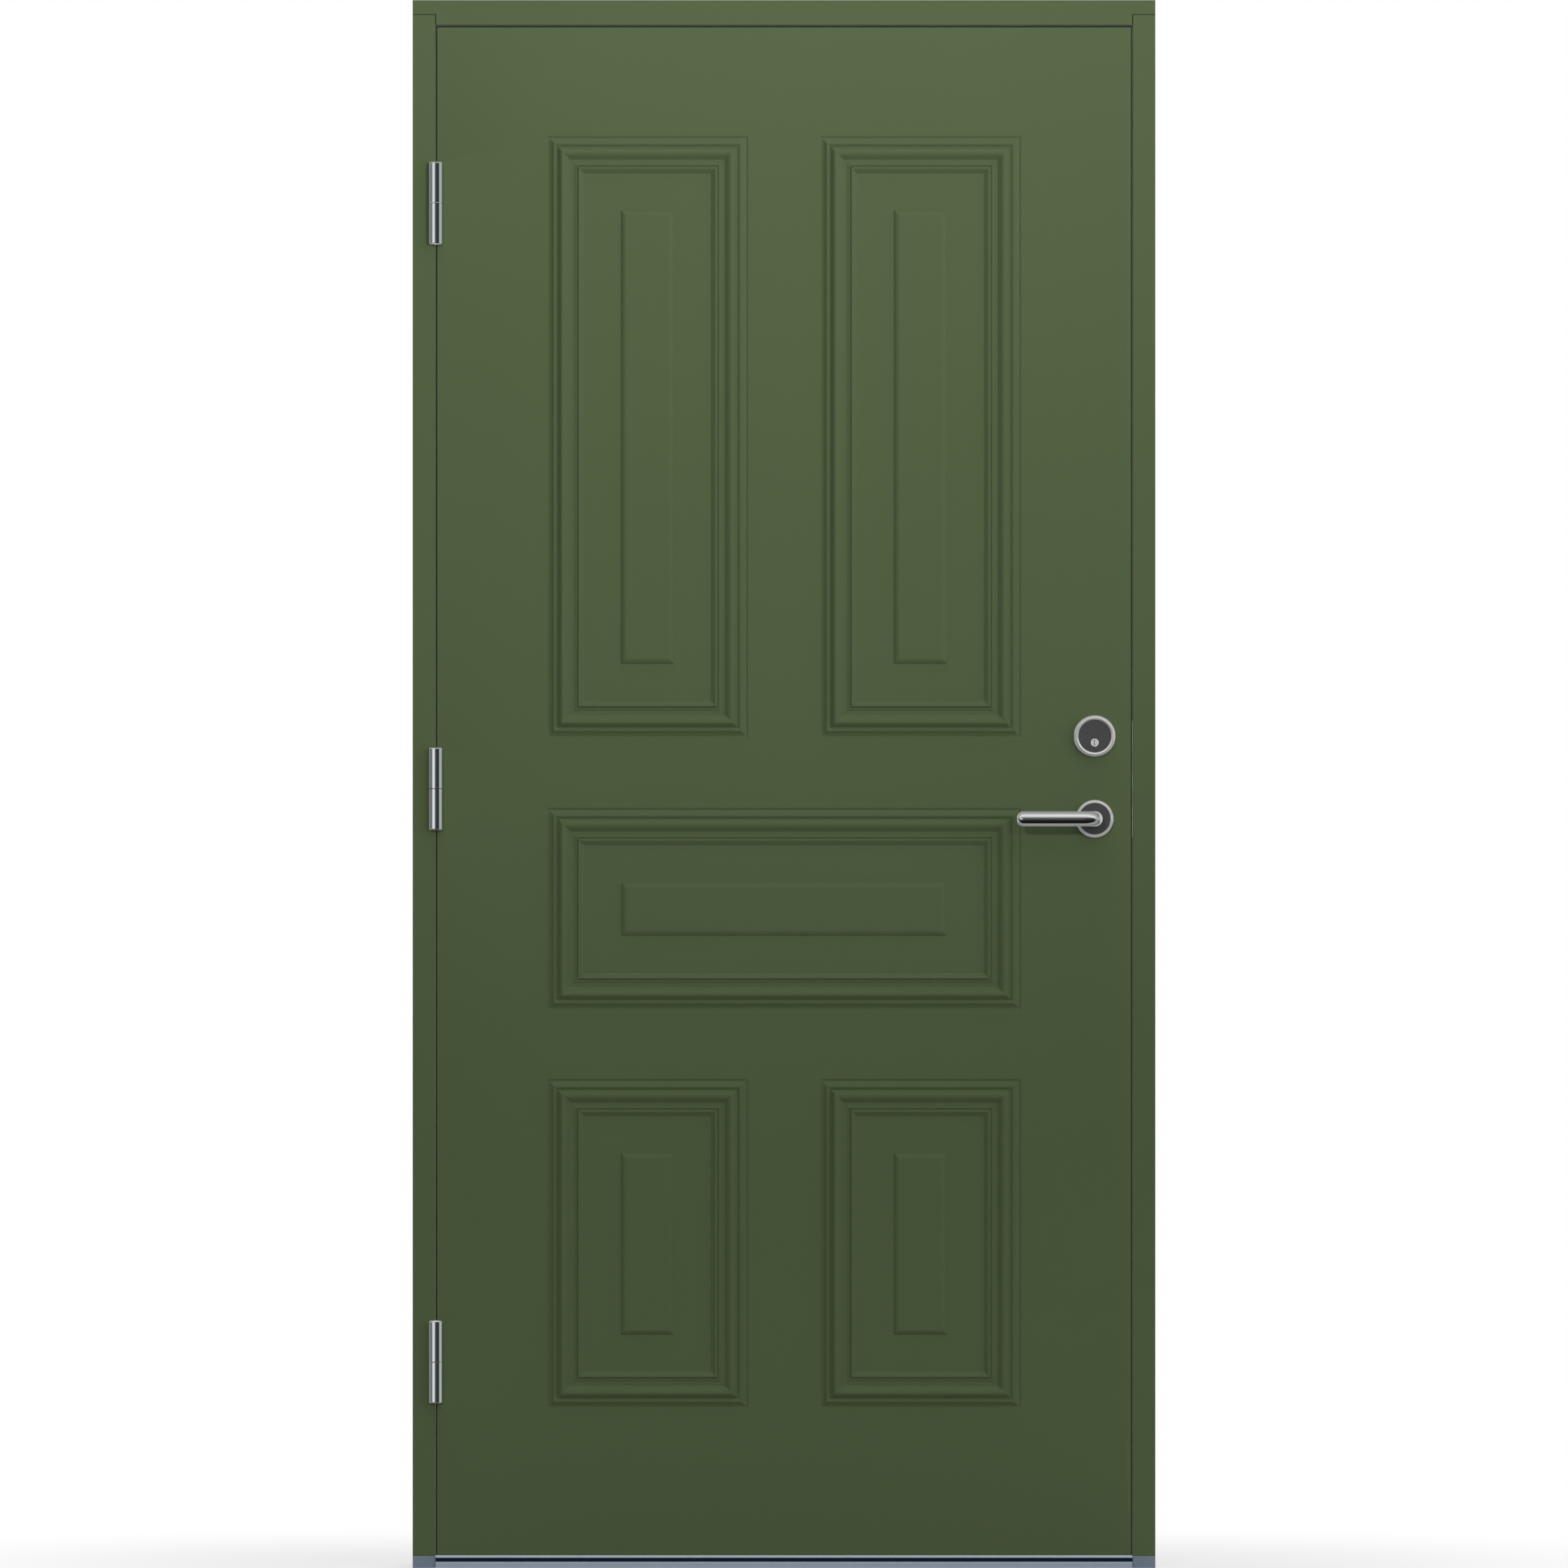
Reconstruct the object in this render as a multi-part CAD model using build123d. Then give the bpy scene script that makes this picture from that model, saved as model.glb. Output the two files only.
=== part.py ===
# Panelled front door in its frame, opening outward on three lift-off hinges.
# Millimetres. X runs across the door, Y from outside to inside, Z up. The origin is the middle of the
# underside of the threshold.
import os

from build123d import *

os.makedirs("parts", exist_ok=True)

# Driving dimensions of the frame
FRAME_W = 990.0
FRAME_H = 2090.0
FRAME_D = 105.0
JAMB_FACE = 30.0
STOP_STEP = 13.0
HEAD_FACE = 33.5
HEAD_HORN = 19.0
BLOCK_H = 16.0
SILL_TOP = 15.8
SILL_BACK = 25.0
FIX_HOLE_R = 7.0
ARRIS = 1.0
JOINT_GAP = 0.9
JOINT_DEEP = 4.0

# Driving dimensions of the leaf
LEAF_T = 62.0
GAP_SIDE = 2.5
GAP_TOP = 3.0
GAP_FOOT = 1.2
SEAL_GAP = 3.5
SEAL_CLEAR = 0.3
SKIN_OUT = 6.0
SKIN_IN = 5.0
STILE_W = 110.0
RAIL_H = 110.0

# Panels: margins to the leaf's edges, gaps between panels, and the moulding
SIDE_MARGIN = 146.1
TOP_MARGIN = 144.7
FOOT_MARGIN = 195.0
PAIR_GAP = 94.9
ROW_GAP_LOW = 91.1
ROW_GAP_HIGH = 92.8
LOW_PANEL_H = 440.1
MID_PANEL_H = 270.1
MOULD_W = 52.0
MOULD_H = 6.5
FIELD_W = 71.0
FIELD_RISE = 2.2
FIELD_TAPER = 52.0
LEAD_W = 1.0
LEAD_DEEP = 10.0

# Hardware
HINGE_R = 8.0
HINGE_PIN_R = 4.0
HINGE_LEN = 109.0
HINGE_PLATE_T = 2.5
HINGE_PLATE_DEEP = 32.0
HINGE_OFF = 9.0
HINGE_CROWN = 1.2
HINGE_PLAY = 0.2
HINGE_CAP = 6.0
HINGE_SCREW_R = 2.0
HINGE_SCREW_HEAD = 4.0
HINGE_SCREW_L = 45.0
HINGE_SCREW_INSET = 16.5
SCREW_SHORT = 5.0
PIN_IN = 0.8
PIN_TIP = 2.0
RUN_FIT = 0.05
WASHER_T = 0.8
LOWER_HINGE_UP = 258.0
MID_HINGE_UP = 1021.7
UPPER_HINGE_DOWN = 234.5
BACKSET = 48.5
LEVER_UP = 981.6
PLUG_OVER_LEVER = 101.6
RING_OVER_PLUG = 8.7

# Frame planes that follow from the driving dimensions
X_OUT = FRAME_W / 2
X_CHEEK = X_OUT - JAMB_FACE
X_STOP = X_CHEEK - STOP_STEP
Y_OUT = -FRAME_D / 2
Y_IN = FRAME_D / 2
Y_BACK = Y_OUT + LEAF_T
Y_STOP = Y_BACK + SEAL_GAP
Z_HORN = FRAME_H - HEAD_HORN
Z_CHEEK = FRAME_H - HEAD_FACE
Z_STOP = Z_CHEEK - STOP_STEP

# Leaf planes
X_LEAF = X_CHEEK - GAP_SIDE
LEAF_FOOT = SILL_TOP + GAP_FOOT
LEAF_TOP = Z_CHEEK - GAP_TOP
LEAF_H = LEAF_TOP - LEAF_FOOT
Y_CORE_OUT = Y_OUT + SKIN_OUT
Y_CORE_IN = Y_BACK - SKIN_IN
Y_MID = (Y_OUT + Y_BACK) / 2
MID_PLANE = Plane(origin=(0, Y_MID, 0), z_dir=(0, 1, 0))

# Hardware positions
PIN_X = -(X_CHEEK - PIN_IN)
PIN_Y = Y_OUT - HINGE_OFF
HINGE_Z = [LEAF_FOOT + LOWER_HINGE_UP, LEAF_FOOT + MID_HINGE_UP, LEAF_TOP - UPPER_HINGE_DOWN]
HINGE_NAMES = ["lower", "middle", "upper"]
LOCK_X = X_LEAF - BACKSET
LEVER_Z = LEAF_FOOT + LEVER_UP
PLUG_Z = LEVER_Z + PLUG_OVER_LEVER
RING_Z = PLUG_Z + RING_OVER_PLUG


def block(x0, x1, y0, y1, z0, z1):
    """A box between two corners."""
    return Pos((x0 + x1) / 2, (y0 + y1) / 2, (z0 + z1) / 2) * Box(x1 - x0, y1 - y0, z1 - z0)


def rod_x(y, z, r, x0, x1):
    """A round bar along X."""
    return Pos((x0 + x1) / 2, y, z) * Rot(0, 90, 0) * Cylinder(r, x1 - x0)


def rod_y(x, z, r, y0, y1):
    """A round bar along Y."""
    return Pos(x, (y0 + y1) / 2, z) * Rot(90, 0, 0) * Cylinder(r, y1 - y0)


def rod_z(x, y, r, z0, z1):
    """A round bar along Z."""
    return Pos(x, y, (z0 + z1) / 2) * Cylinder(r, z1 - z0)


def screw(origin, direction, r, head_r, length, head_t=None, recess=True):
    """A countersunk screw whose flat head lies at origin and whose shank runs along direction."""
    sink = head_r - r if head_t is None else head_t
    head = [(head_r, 0.4), (r, sink + 0.4)] if head_t is None else [(head_r, sink), (r, sink)]
    side = [(0, 0), (head_r, 0), *head, (r, length - r), (0.4 * r, length), (0, length)]
    body = revolve(Plane.XZ * make_face(Polyline(*side, close=True)), Axis.Z)
    if recess:
        wide = head_r * 1.1
        deep = min(2.0, sink * 0.8 + 0.3)
        body -= Pos(0, 0, deep / 2) * Box(wide, wide * 0.24, deep)
        body -= Pos(0, 0, deep / 2) * Box(wide * 0.24, wide, deep)
    return Plane(origin=origin, z_dir=direction) * body


def save(name, *solids):
    """One STEP file for a sub-part, which holds one solid or several alike."""
    shapes = [s for piece in solids for s in piece.solids()]
    export_step(shapes[0] if len(shapes) == 1 else Compound(children=shapes), f"parts/{name}.step")


# Threshold: a hardwood core between two plastic end blocks that carry the jambs. The aluminium cover wraps
# the core with a nose under the leaf, a drip recess, a lower flange and the raised stop behind the leaf.
COVER_T = 1.4
COVER_UP = 0.6
NOSE_Y = Y_OUT - 5.0
FLANGE_Y = Y_OUT - 3.5
RECESS_Y = Y_OUT + 6.0
COVER_PLAY = 0.6
STRIP_OUT = 2.2
BLOCK_EDGE = 0.9
NOSE_LIP = 0.6
FLANGE_LO = 1.4
FLANGE_HI = 7.9
core_side = [
    (RECESS_Y + COVER_T, 0),
    (Y_IN - COVER_T, 0),
    (Y_IN - COVER_T, SILL_BACK - COVER_T),
    (Y_STOP + COVER_T, SILL_BACK - COVER_T),
    (Y_STOP + COVER_T, SILL_TOP - COVER_T),
    (RECESS_Y + COVER_T, SILL_TOP - COVER_T),
]
core_face = make_face(Polyline(*core_side, close=True))
core_face = Plane(origin=(-X_CHEEK, 0, 0), x_dir=(0, 1, 0), z_dir=(1, 0, 0)) * core_face
threshold_core = extrude(core_face, 2 * X_CHEEK)

cover_side = [
    (RECESS_Y + COVER_T, COVER_UP),
    (RECESS_Y + COVER_T, SILL_TOP - COVER_T),
    (Y_STOP + COVER_T, SILL_TOP - COVER_T),
    (Y_STOP + COVER_T, SILL_BACK - COVER_T),
    (Y_IN - COVER_T, SILL_BACK - COVER_T),
    (Y_IN - COVER_T, COVER_UP),
    (Y_IN, COVER_UP),
    (Y_IN, SILL_BACK),
    (Y_STOP, SILL_BACK),
    (Y_STOP, SILL_TOP),
    (NOSE_Y, SILL_TOP),
    (NOSE_Y, SILL_TOP - COVER_T - NOSE_LIP),
    (NOSE_Y + COVER_T, SILL_TOP - COVER_T - NOSE_LIP),
    (NOSE_Y + COVER_T, SILL_TOP - COVER_T),
    (RECESS_Y, SILL_TOP - COVER_T),
    (RECESS_Y, FLANGE_HI),
    (FLANGE_Y, FLANGE_HI),
    (FLANGE_Y, FLANGE_LO),
    (FLANGE_Y + COVER_T, FLANGE_LO),
    (FLANGE_Y + COVER_T, FLANGE_HI - COVER_T),
    (RECESS_Y, FLANGE_HI - COVER_T),
    (RECESS_Y, COVER_UP),
]
cover_face = make_face(Polyline(*cover_side, close=True))
cover_face = Plane(origin=(-X_CHEEK + COVER_PLAY, 0, 0), x_dir=(0, 1, 0), z_dir=(1, 0, 0)) * cover_face
threshold_cover = extrude(cover_face, 2 * (X_CHEEK - COVER_PLAY))
round_edges = threshold_cover.edges().filter_by(Axis.X).filter_by(
    lambda e: abs(e.center().Y - NOSE_Y) < 0.01 and abs(e.center().Z - SILL_TOP) < 0.01
    or abs(e.center().Y - FLANGE_Y) < 0.01 and abs(e.center().Z - FLANGE_HI) < 0.01
    or abs(e.center().Y - Y_STOP) < 0.01 and abs(e.center().Z - SILL_BACK) < 0.01
)
threshold_cover = fillet(round_edges, 0.9)

# A rubber strip in the drip recess keeps water off the core's front.
strip_foot = FLANGE_HI
strip_head = SILL_TOP - COVER_T
drip_strip = block(
    -X_CHEEK + COVER_PLAY, X_CHEEK - COVER_PLAY, RECESS_Y - STRIP_OUT, RECESS_Y, strip_foot, strip_head
)
drip_strip = fillet(drip_strip.edges().filter_by(Axis.X).group_by(Axis.Y)[0], 0.36 * STRIP_OUT)

end_block = block(X_CHEEK, X_OUT, Y_OUT, Y_IN, 0, BLOCK_H)
end_block = chamfer(end_block.edges().group_by(Axis.Y)[0], BLOCK_EDGE)
end_blocks = [mirror(end_block, about=Plane.YZ), end_block]

# Jambs and head: rebated softwood members. The rebate takes the leaf flush with the outer face, and the
# step behind it is the stop. The head rests on both jamb tops and drops between them, and a shallow shadow
# groove marks each joint on the outer face.
jamb_side = [
    (X_OUT, Y_OUT),
    (X_OUT, Y_IN),
    (X_STOP, Y_IN),
    (X_STOP, Y_STOP),
    (X_CHEEK, Y_STOP),
    (X_CHEEK, Y_OUT),
]
lock_jamb = extrude(Pos(0, 0, BLOCK_H) * make_face(Polyline(*jamb_side, close=True)), Z_HORN - BLOCK_H)
lock_jamb -= block(X_CHEEK - 1, X_OUT + 1, Y_OUT - 1, Y_OUT + JOINT_DEEP, Z_HORN - JOINT_GAP, Z_HORN + 1)
lock_jamb = fillet(lock_jamb.edges().group_by(Axis.Y)[0], ARRIS)
lock_jamb -= block(X_STOP - 1, X_CHEEK, Y_OUT - 1, Y_IN + 1, 0, SILL_BACK)
hinge_jamb = mirror(lock_jamb, about=Plane.YZ)

frame_head = block(-X_OUT, X_OUT, Y_OUT, Y_IN, Z_HORN, FRAME_H)
frame_head += block(-X_CHEEK, X_CHEEK, Y_OUT, Y_STOP, Z_CHEEK, Z_HORN)
for sx in (-1, 1):
    x0, x1 = sorted((sx * (X_CHEEK - JOINT_GAP), sx * (X_CHEEK + 1)))
    frame_head -= block(x0, x1, Y_OUT - 1, Y_OUT + JOINT_DEEP, Z_CHEEK - 1, Z_HORN)
frame_head = fillet(frame_head.edges().group_by(Axis.Y)[0], ARRIS)
frame_head += block(-X_STOP, X_STOP, Y_STOP, Y_IN, Z_STOP, Z_HORN)

# Seals: rubber strips with a barbed stem pressed into a groove in the stop face. They stand just clear of
# the shut leaf.
SEAL_LIP = 8.0
SEAL_STEM = 3.0
SEAL_DEEP = 5.0
SEAL_IN = 2.0
SEAL_FACE = Y_BACK + SEAL_CLEAR
seal_lip_t = Y_STOP - SEAL_FACE
lip = fillet(Rectangle(SEAL_LIP, seal_lip_t).vertices().group_by(Axis.Y)[0], seal_lip_t * 0.45)
seal_profile = Pos(0, (SEAL_FACE + Y_STOP) / 2) * lip
seal_profile += Pos(0, Y_STOP + SEAL_DEEP / 2) * Rectangle(SEAL_STEM, SEAL_DEEP)
SEAL_X = X_STOP + SEAL_IN + SEAL_LIP / 2
SEAL_Z = Z_STOP + SEAL_IN + SEAL_LIP / 2
SEAL_TOP = SEAL_Z + SEAL_LIP / 2
seal_lock_side = extrude(Pos(SEAL_X, 0, SILL_BACK) * seal_profile, SEAL_TOP - SILL_BACK)
seal_hinge_side = mirror(seal_lock_side, about=Plane.YZ)
groove = block(
    SEAL_X - SEAL_STEM / 2, SEAL_X + SEAL_STEM / 2, Y_STOP - 1, Y_STOP + SEAL_DEEP, SILL_BACK, SEAL_TOP
)
lock_jamb -= groove
hinge_jamb -= mirror(groove, about=Plane.YZ)
head_reach = SEAL_X - SEAL_LIP / 2
head_plane = Plane(origin=(-head_reach, 0, SEAL_Z), x_dir=(0, 0, -1), z_dir=(1, 0, 0))
seal_head = extrude(head_plane * seal_profile, 2 * head_reach)
seal_head -= block(-X_OUT, -X_STOP, Y_STOP, Y_IN, Z_STOP, Z_CHEEK)
seal_head -= block(X_STOP, X_OUT, Y_STOP, Y_IN, Z_STOP, Z_CHEEK)
frame_head -= block(
    -X_STOP, X_STOP, Y_STOP - 1, Y_STOP + SEAL_DEEP, SEAL_Z - SEAL_STEM / 2, SEAL_Z + SEAL_STEM / 2
)
FOOT_SEAL_LO = 2.0
FOOT_SEAL_HI = 0.8
foot_seal = block(-X_STOP, X_STOP, SEAL_FACE, Y_STOP, SILL_TOP + FOOT_SEAL_LO, SILL_BACK - FOOT_SEAL_HI)
foot_edges = foot_seal.edges().filter_by(Axis.X).group_by(Axis.Y)[0]
seal_threshold = fillet(foot_edges, 0.375 * seal_lip_t)

# Frame screws: through the head into the jambs, up through the end blocks into the jambs, and through the
# end blocks into the threshold core.
SCREW_R = 2.5
SCREW_HEAD = 5.0
HEAD_SCREW_L = 80.0
FOOT_SCREW_L = 70.0
SILL_SCREW_L = 75.0
SCREW_INSET = 24.0
member_x = X_OUT - JAMB_FACE / 2
sill_screw_z = (SILL_TOP - COVER_T) * 0.46
head_screws = []
foot_screws = []
threshold_screws = []
for sx in (-1, 1):
    for y in (Y_OUT + SCREW_INSET, Y_IN - SCREW_INSET):
        head_screws.append(((sx * member_x, y, FRAME_H), (0, 0, -1), HEAD_SCREW_L))
        foot_screws.append(((sx * member_x, y, 0.0), (0, 0, 1), FOOT_SCREW_L))
    for y in ((Y_OUT + Y_IN) / 2 - SCREW_INSET / 3, Y_IN - SCREW_INSET / 2):
        threshold_screws.append(((sx * X_OUT, y, sill_screw_z), (-sx, 0, 0), SILL_SCREW_L))
for at, way, length in head_screws:
    cut = screw(at, way, SCREW_R, SCREW_HEAD, length, recess=False)
    frame_head -= cut
    if at[0] < 0:
        hinge_jamb -= cut
    else:
        lock_jamb -= cut
for at, way, length in foot_screws:
    cut = screw(at, way, SCREW_R, SCREW_HEAD, length, recess=False)
    if at[0] < 0:
        hinge_jamb -= cut
        end_blocks[0] -= cut
    else:
        lock_jamb -= cut
        end_blocks[1] -= cut
for at, way, length in threshold_screws:
    cut = screw(at, way, SCREW_R, SCREW_HEAD, length, recess=False)
    threshold_core -= cut
    end_blocks[0 if at[0] < 0 else 1] -= cut
save("head_screws", *[screw(at, way, SCREW_R, SCREW_HEAD, length) for at, way, length in head_screws])
save("foot_screws", *[screw(at, way, SCREW_R, SCREW_HEAD, length) for at, way, length in foot_screws])
save(
    "threshold_screws",
    *[screw(at, way, SCREW_R, SCREW_HEAD, length) for at, way, length in threshold_screws],
)

# Fixing holes for the wall: four through each jamb, in the rebate where the shut leaf hides them.
FIX_Y = Y_OUT + 36.0
FIX_INSET = 200.0
FIX_ENDS = [FIX_INSET, FRAME_H - FIX_INSET]
FIX_INNER = [FRAME_H * 0.31, FRAME_H * 0.685]
for z in FIX_ENDS + FIX_INNER:
    lock_jamb -= rod_x(FIX_Y, z, FIX_HOLE_R, X_CHEEK - 1, X_OUT + 1)
    hinge_jamb -= rod_x(FIX_Y, z, FIX_HOLE_R, -X_OUT - 1, -X_CHEEK + 1)

# Leaf body: two stiles and two rails of laminated pine round an insulation core, with a skin on each side.
hinge_stile = block(-X_LEAF, -X_LEAF + STILE_W, Y_CORE_OUT, Y_CORE_IN, LEAF_FOOT, LEAF_TOP)
lock_stile = block(X_LEAF - STILE_W, X_LEAF, Y_CORE_OUT, Y_CORE_IN, LEAF_FOOT, LEAF_TOP)
X_FILL = X_LEAF - STILE_W
bottom_rail = block(-X_FILL, X_FILL, Y_CORE_OUT, Y_CORE_IN, LEAF_FOOT, LEAF_FOOT + RAIL_H)
top_rail = block(-X_FILL, X_FILL, Y_CORE_OUT, Y_CORE_IN, LEAF_TOP - RAIL_H, LEAF_TOP)
insulation_core = block(-X_FILL, X_FILL, Y_CORE_OUT, Y_CORE_IN, LEAF_FOOT + RAIL_H, LEAF_TOP - RAIL_H)
inner_skin = block(-X_LEAF, X_LEAF, Y_CORE_IN, Y_BACK, LEAF_FOOT, LEAF_TOP)
outer_skin = block(-X_LEAF, X_LEAF, Y_OUT, Y_CORE_OUT, LEAF_FOOT, LEAF_TOP)
outer_skin = fillet(outer_skin.edges().group_by(Axis.Y)[0], ARRIS)

# Leading bevel: the lock edge slopes back towards the inner face, so that its back corner swings clear of the
# jamb.
lead_side = [
    (X_LEAF, Y_BACK - LEAD_DEEP),
    (X_LEAF + 1, Y_BACK - LEAD_DEEP),
    (X_LEAF + 1, Y_BACK + LEAD_DEEP),
    (X_LEAF - 2 * LEAD_W, Y_BACK + LEAD_DEEP),
]
lead = extrude(Pos(0, 0, LEAF_FOOT - 1) * make_face(Polyline(*lead_side, close=True)), LEAF_H + 2)
lock_stile -= lead
inner_skin -= lead

# Moulding profile, from the outer edge of a panel inward: a fine groove, a cove, a quirk, the main crest, a
# valley with a second groove, and a sloped inner edge. It is drawn 52 wide with a crest 6.5 high.
skin_in = SKIN_OUT / 2
GROOVE = 0.9


def rim(inward, out):
    """A point of the profile, where out is the height over the leaf's face."""
    return (inward * MOULD_W / 52.0, -out * MOULD_H / 6.5)


profile = [
    Line((0, skin_in), rim(0, 0)),
    Line(rim(0, 0), rim(0.8, -0.1)),
    Line(rim(0.8, -0.1), rim(2.4, -GROOVE)),
    ThreePointArc(rim(2.4, -GROOVE), rim(6.2, 0.41), rim(9.4, 2.83)),
    ThreePointArc(rim(9.4, 2.83), rim(9.9, 3.1), rim(10.6, 3.05)),
    Line(rim(10.6, 3.05), rim(13.8, 2.0)),
    ThreePointArc(rim(13.8, 2.0), rim(17.88, 5.31), rim(23.0, 6.49)),
    ThreePointArc(rim(23.0, 6.49), rim(27.8, 5.47), rim(31.8, 2.57)),
    Line(rim(31.8, 2.57), rim(33.4, 2.3)),
    ThreePointArc(rim(33.4, 2.3), rim(36.86, 2.6), rim(40.2, 3.5)),
    Line(rim(40.2, 3.5), rim(41.1, 2.7)),
    Line(rim(41.1, 2.7), rim(42.0, 3.7)),
    Line(rim(42.0, 3.7), rim(44.2, 4.3)),
    Line(rim(44.2, 4.3), rim(45.2, 3.95)),
    Line(rim(45.2, 3.95), rim(50.8, 0.15)),
    Line(rim(50.8, 0.15), rim(52.0, 0)),
    Line(rim(52.0, 0), (MOULD_W, skin_in)),
    Line((MOULD_W, skin_in), (0, skin_in)),
]
mould_face = make_face(profile)


def moulding(x0, x1, z0, z1):
    """The four mitred sides of one panel's moulding, and the raised field inside it."""
    upright = extrude(Plane(origin=(x0, Y_OUT, z0), x_dir=(1, 0, 0), z_dir=(0, 0, 1)) * mould_face, z1 - z0)
    mitre = [(x0, z0), (x0, z1), (x0 + MOULD_W, z1 - MOULD_W), (x0 + MOULD_W, z0 + MOULD_W)]
    wedge = Plane(origin=(0, Y_OUT + SKIN_OUT, 0), x_dir=(1, 0, 0), z_dir=(0, -1, 0)) * make_face(
        Polyline(*mitre, close=True)
    )
    upright &= extrude(wedge, SKIN_OUT + 2 * MOULD_H)
    level = extrude(Plane(origin=(x1, Y_OUT, z0), x_dir=(0, 0, 1), z_dir=(-1, 0, 0)) * mould_face, x1 - x0)
    mitre = [(x0, z0), (x0 + MOULD_W, z0 + MOULD_W), (x1 - MOULD_W, z0 + MOULD_W), (x1, z0)]
    wedge = Plane(origin=(0, Y_OUT + SKIN_OUT, 0), x_dir=(1, 0, 0), z_dir=(0, -1, 0)) * make_face(
        Polyline(*mitre, close=True)
    )
    level &= extrude(wedge, SKIN_OUT + 2 * MOULD_H)
    far = mirror(upright, about=Plane(origin=((x0 + x1) / 2, 0, 0), z_dir=(1, 0, 0)))
    top = mirror(level, about=Plane(origin=(0, 0, (z0 + z1) / 2), z_dir=(0, 0, 1)))
    inset = (min(x1 - x0, z1 - z0) - FIELD_W) / 2
    field = Pos((x0 + x1) / 2, (z0 + z1) / 2) * Rectangle(x1 - x0 - 2 * inset, z1 - z0 - 2 * inset)
    field = Plane(origin=(0, Y_OUT, 0), x_dir=(1, 0, 0), z_dir=(0, -1, 0)) * field
    raised = extrude(field, FIELD_RISE, taper=FIELD_TAPER)
    return [upright, level, far, top, raised]


X_PANEL = X_LEAF - SIDE_MARGIN
low_0 = LEAF_FOOT + FOOT_MARGIN
low_1 = low_0 + LOW_PANEL_H
mid_0 = low_1 + ROW_GAP_LOW
mid_1 = mid_0 + MID_PANEL_H
high_0 = mid_1 + ROW_GAP_HIGH
high_1 = LEAF_TOP - TOP_MARGIN
panels = [(-X_PANEL, X_PANEL, mid_0, mid_1)]
for z0, z1 in ((low_0, low_1), (high_0, high_1)):
    panels.append((-X_PANEL, -PAIR_GAP / 2, z0, z1))
    panels.append((PAIR_GAP / 2, X_PANEL, z0, z1))
relief = []
beds = []
for x0, x1, z0, z1 in panels:
    relief += moulding(x0, x1, z0, z1)
    bed = block(x0, x1, Y_OUT - 1, Y_OUT + 1.1 * GROOVE * MOULD_H / 6.5, z0, z1)
    bed -= block(x0 + MOULD_W, x1 - MOULD_W, Y_OUT - 2, Y_OUT + 2, z0 + MOULD_W, z1 - MOULD_W)
    beds.append(bed)
outer_skin = outer_skin.cut(*beds).fuse(*[s for piece in relief for s in piece.solids()])
inner_skin = inner_skin.cut(*[mirror(bed, about=MID_PLANE) for bed in beds])
inner_skin = inner_skin.fuse(*[mirror(s, about=MID_PLANE) for piece in relief for s in piece.solids()])

# Edge seal: a grey rubber strip round the sides and top of the leaf, glued to its edge just behind the face.
# It nearly fills the gap to the frame, and stands clear of it on the swing.
EDGE_CLEAR = 0.7
EDGE_SEAL_BACK = 2.0
EDGE_SEAL_W = 3.5
seal_y0 = Y_OUT + EDGE_SEAL_BACK
seal_y1 = seal_y0 + EDGE_SEAL_W
seal_x = X_CHEEK - EDGE_CLEAR
edge_seal = block(-seal_x, seal_x, seal_y0, seal_y1, LEAF_FOOT, Z_CHEEK - EDGE_CLEAR)
edge_seal = fillet(edge_seal.edges().filter_by(Axis.Y).group_by(Axis.Z)[-1], GAP_SIDE - EDGE_CLEAR)
edge_seal -= block(-X_LEAF, X_LEAF, seal_y0 - 1, seal_y1 + 1, LEAF_FOOT - 1, LEAF_TOP)

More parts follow.
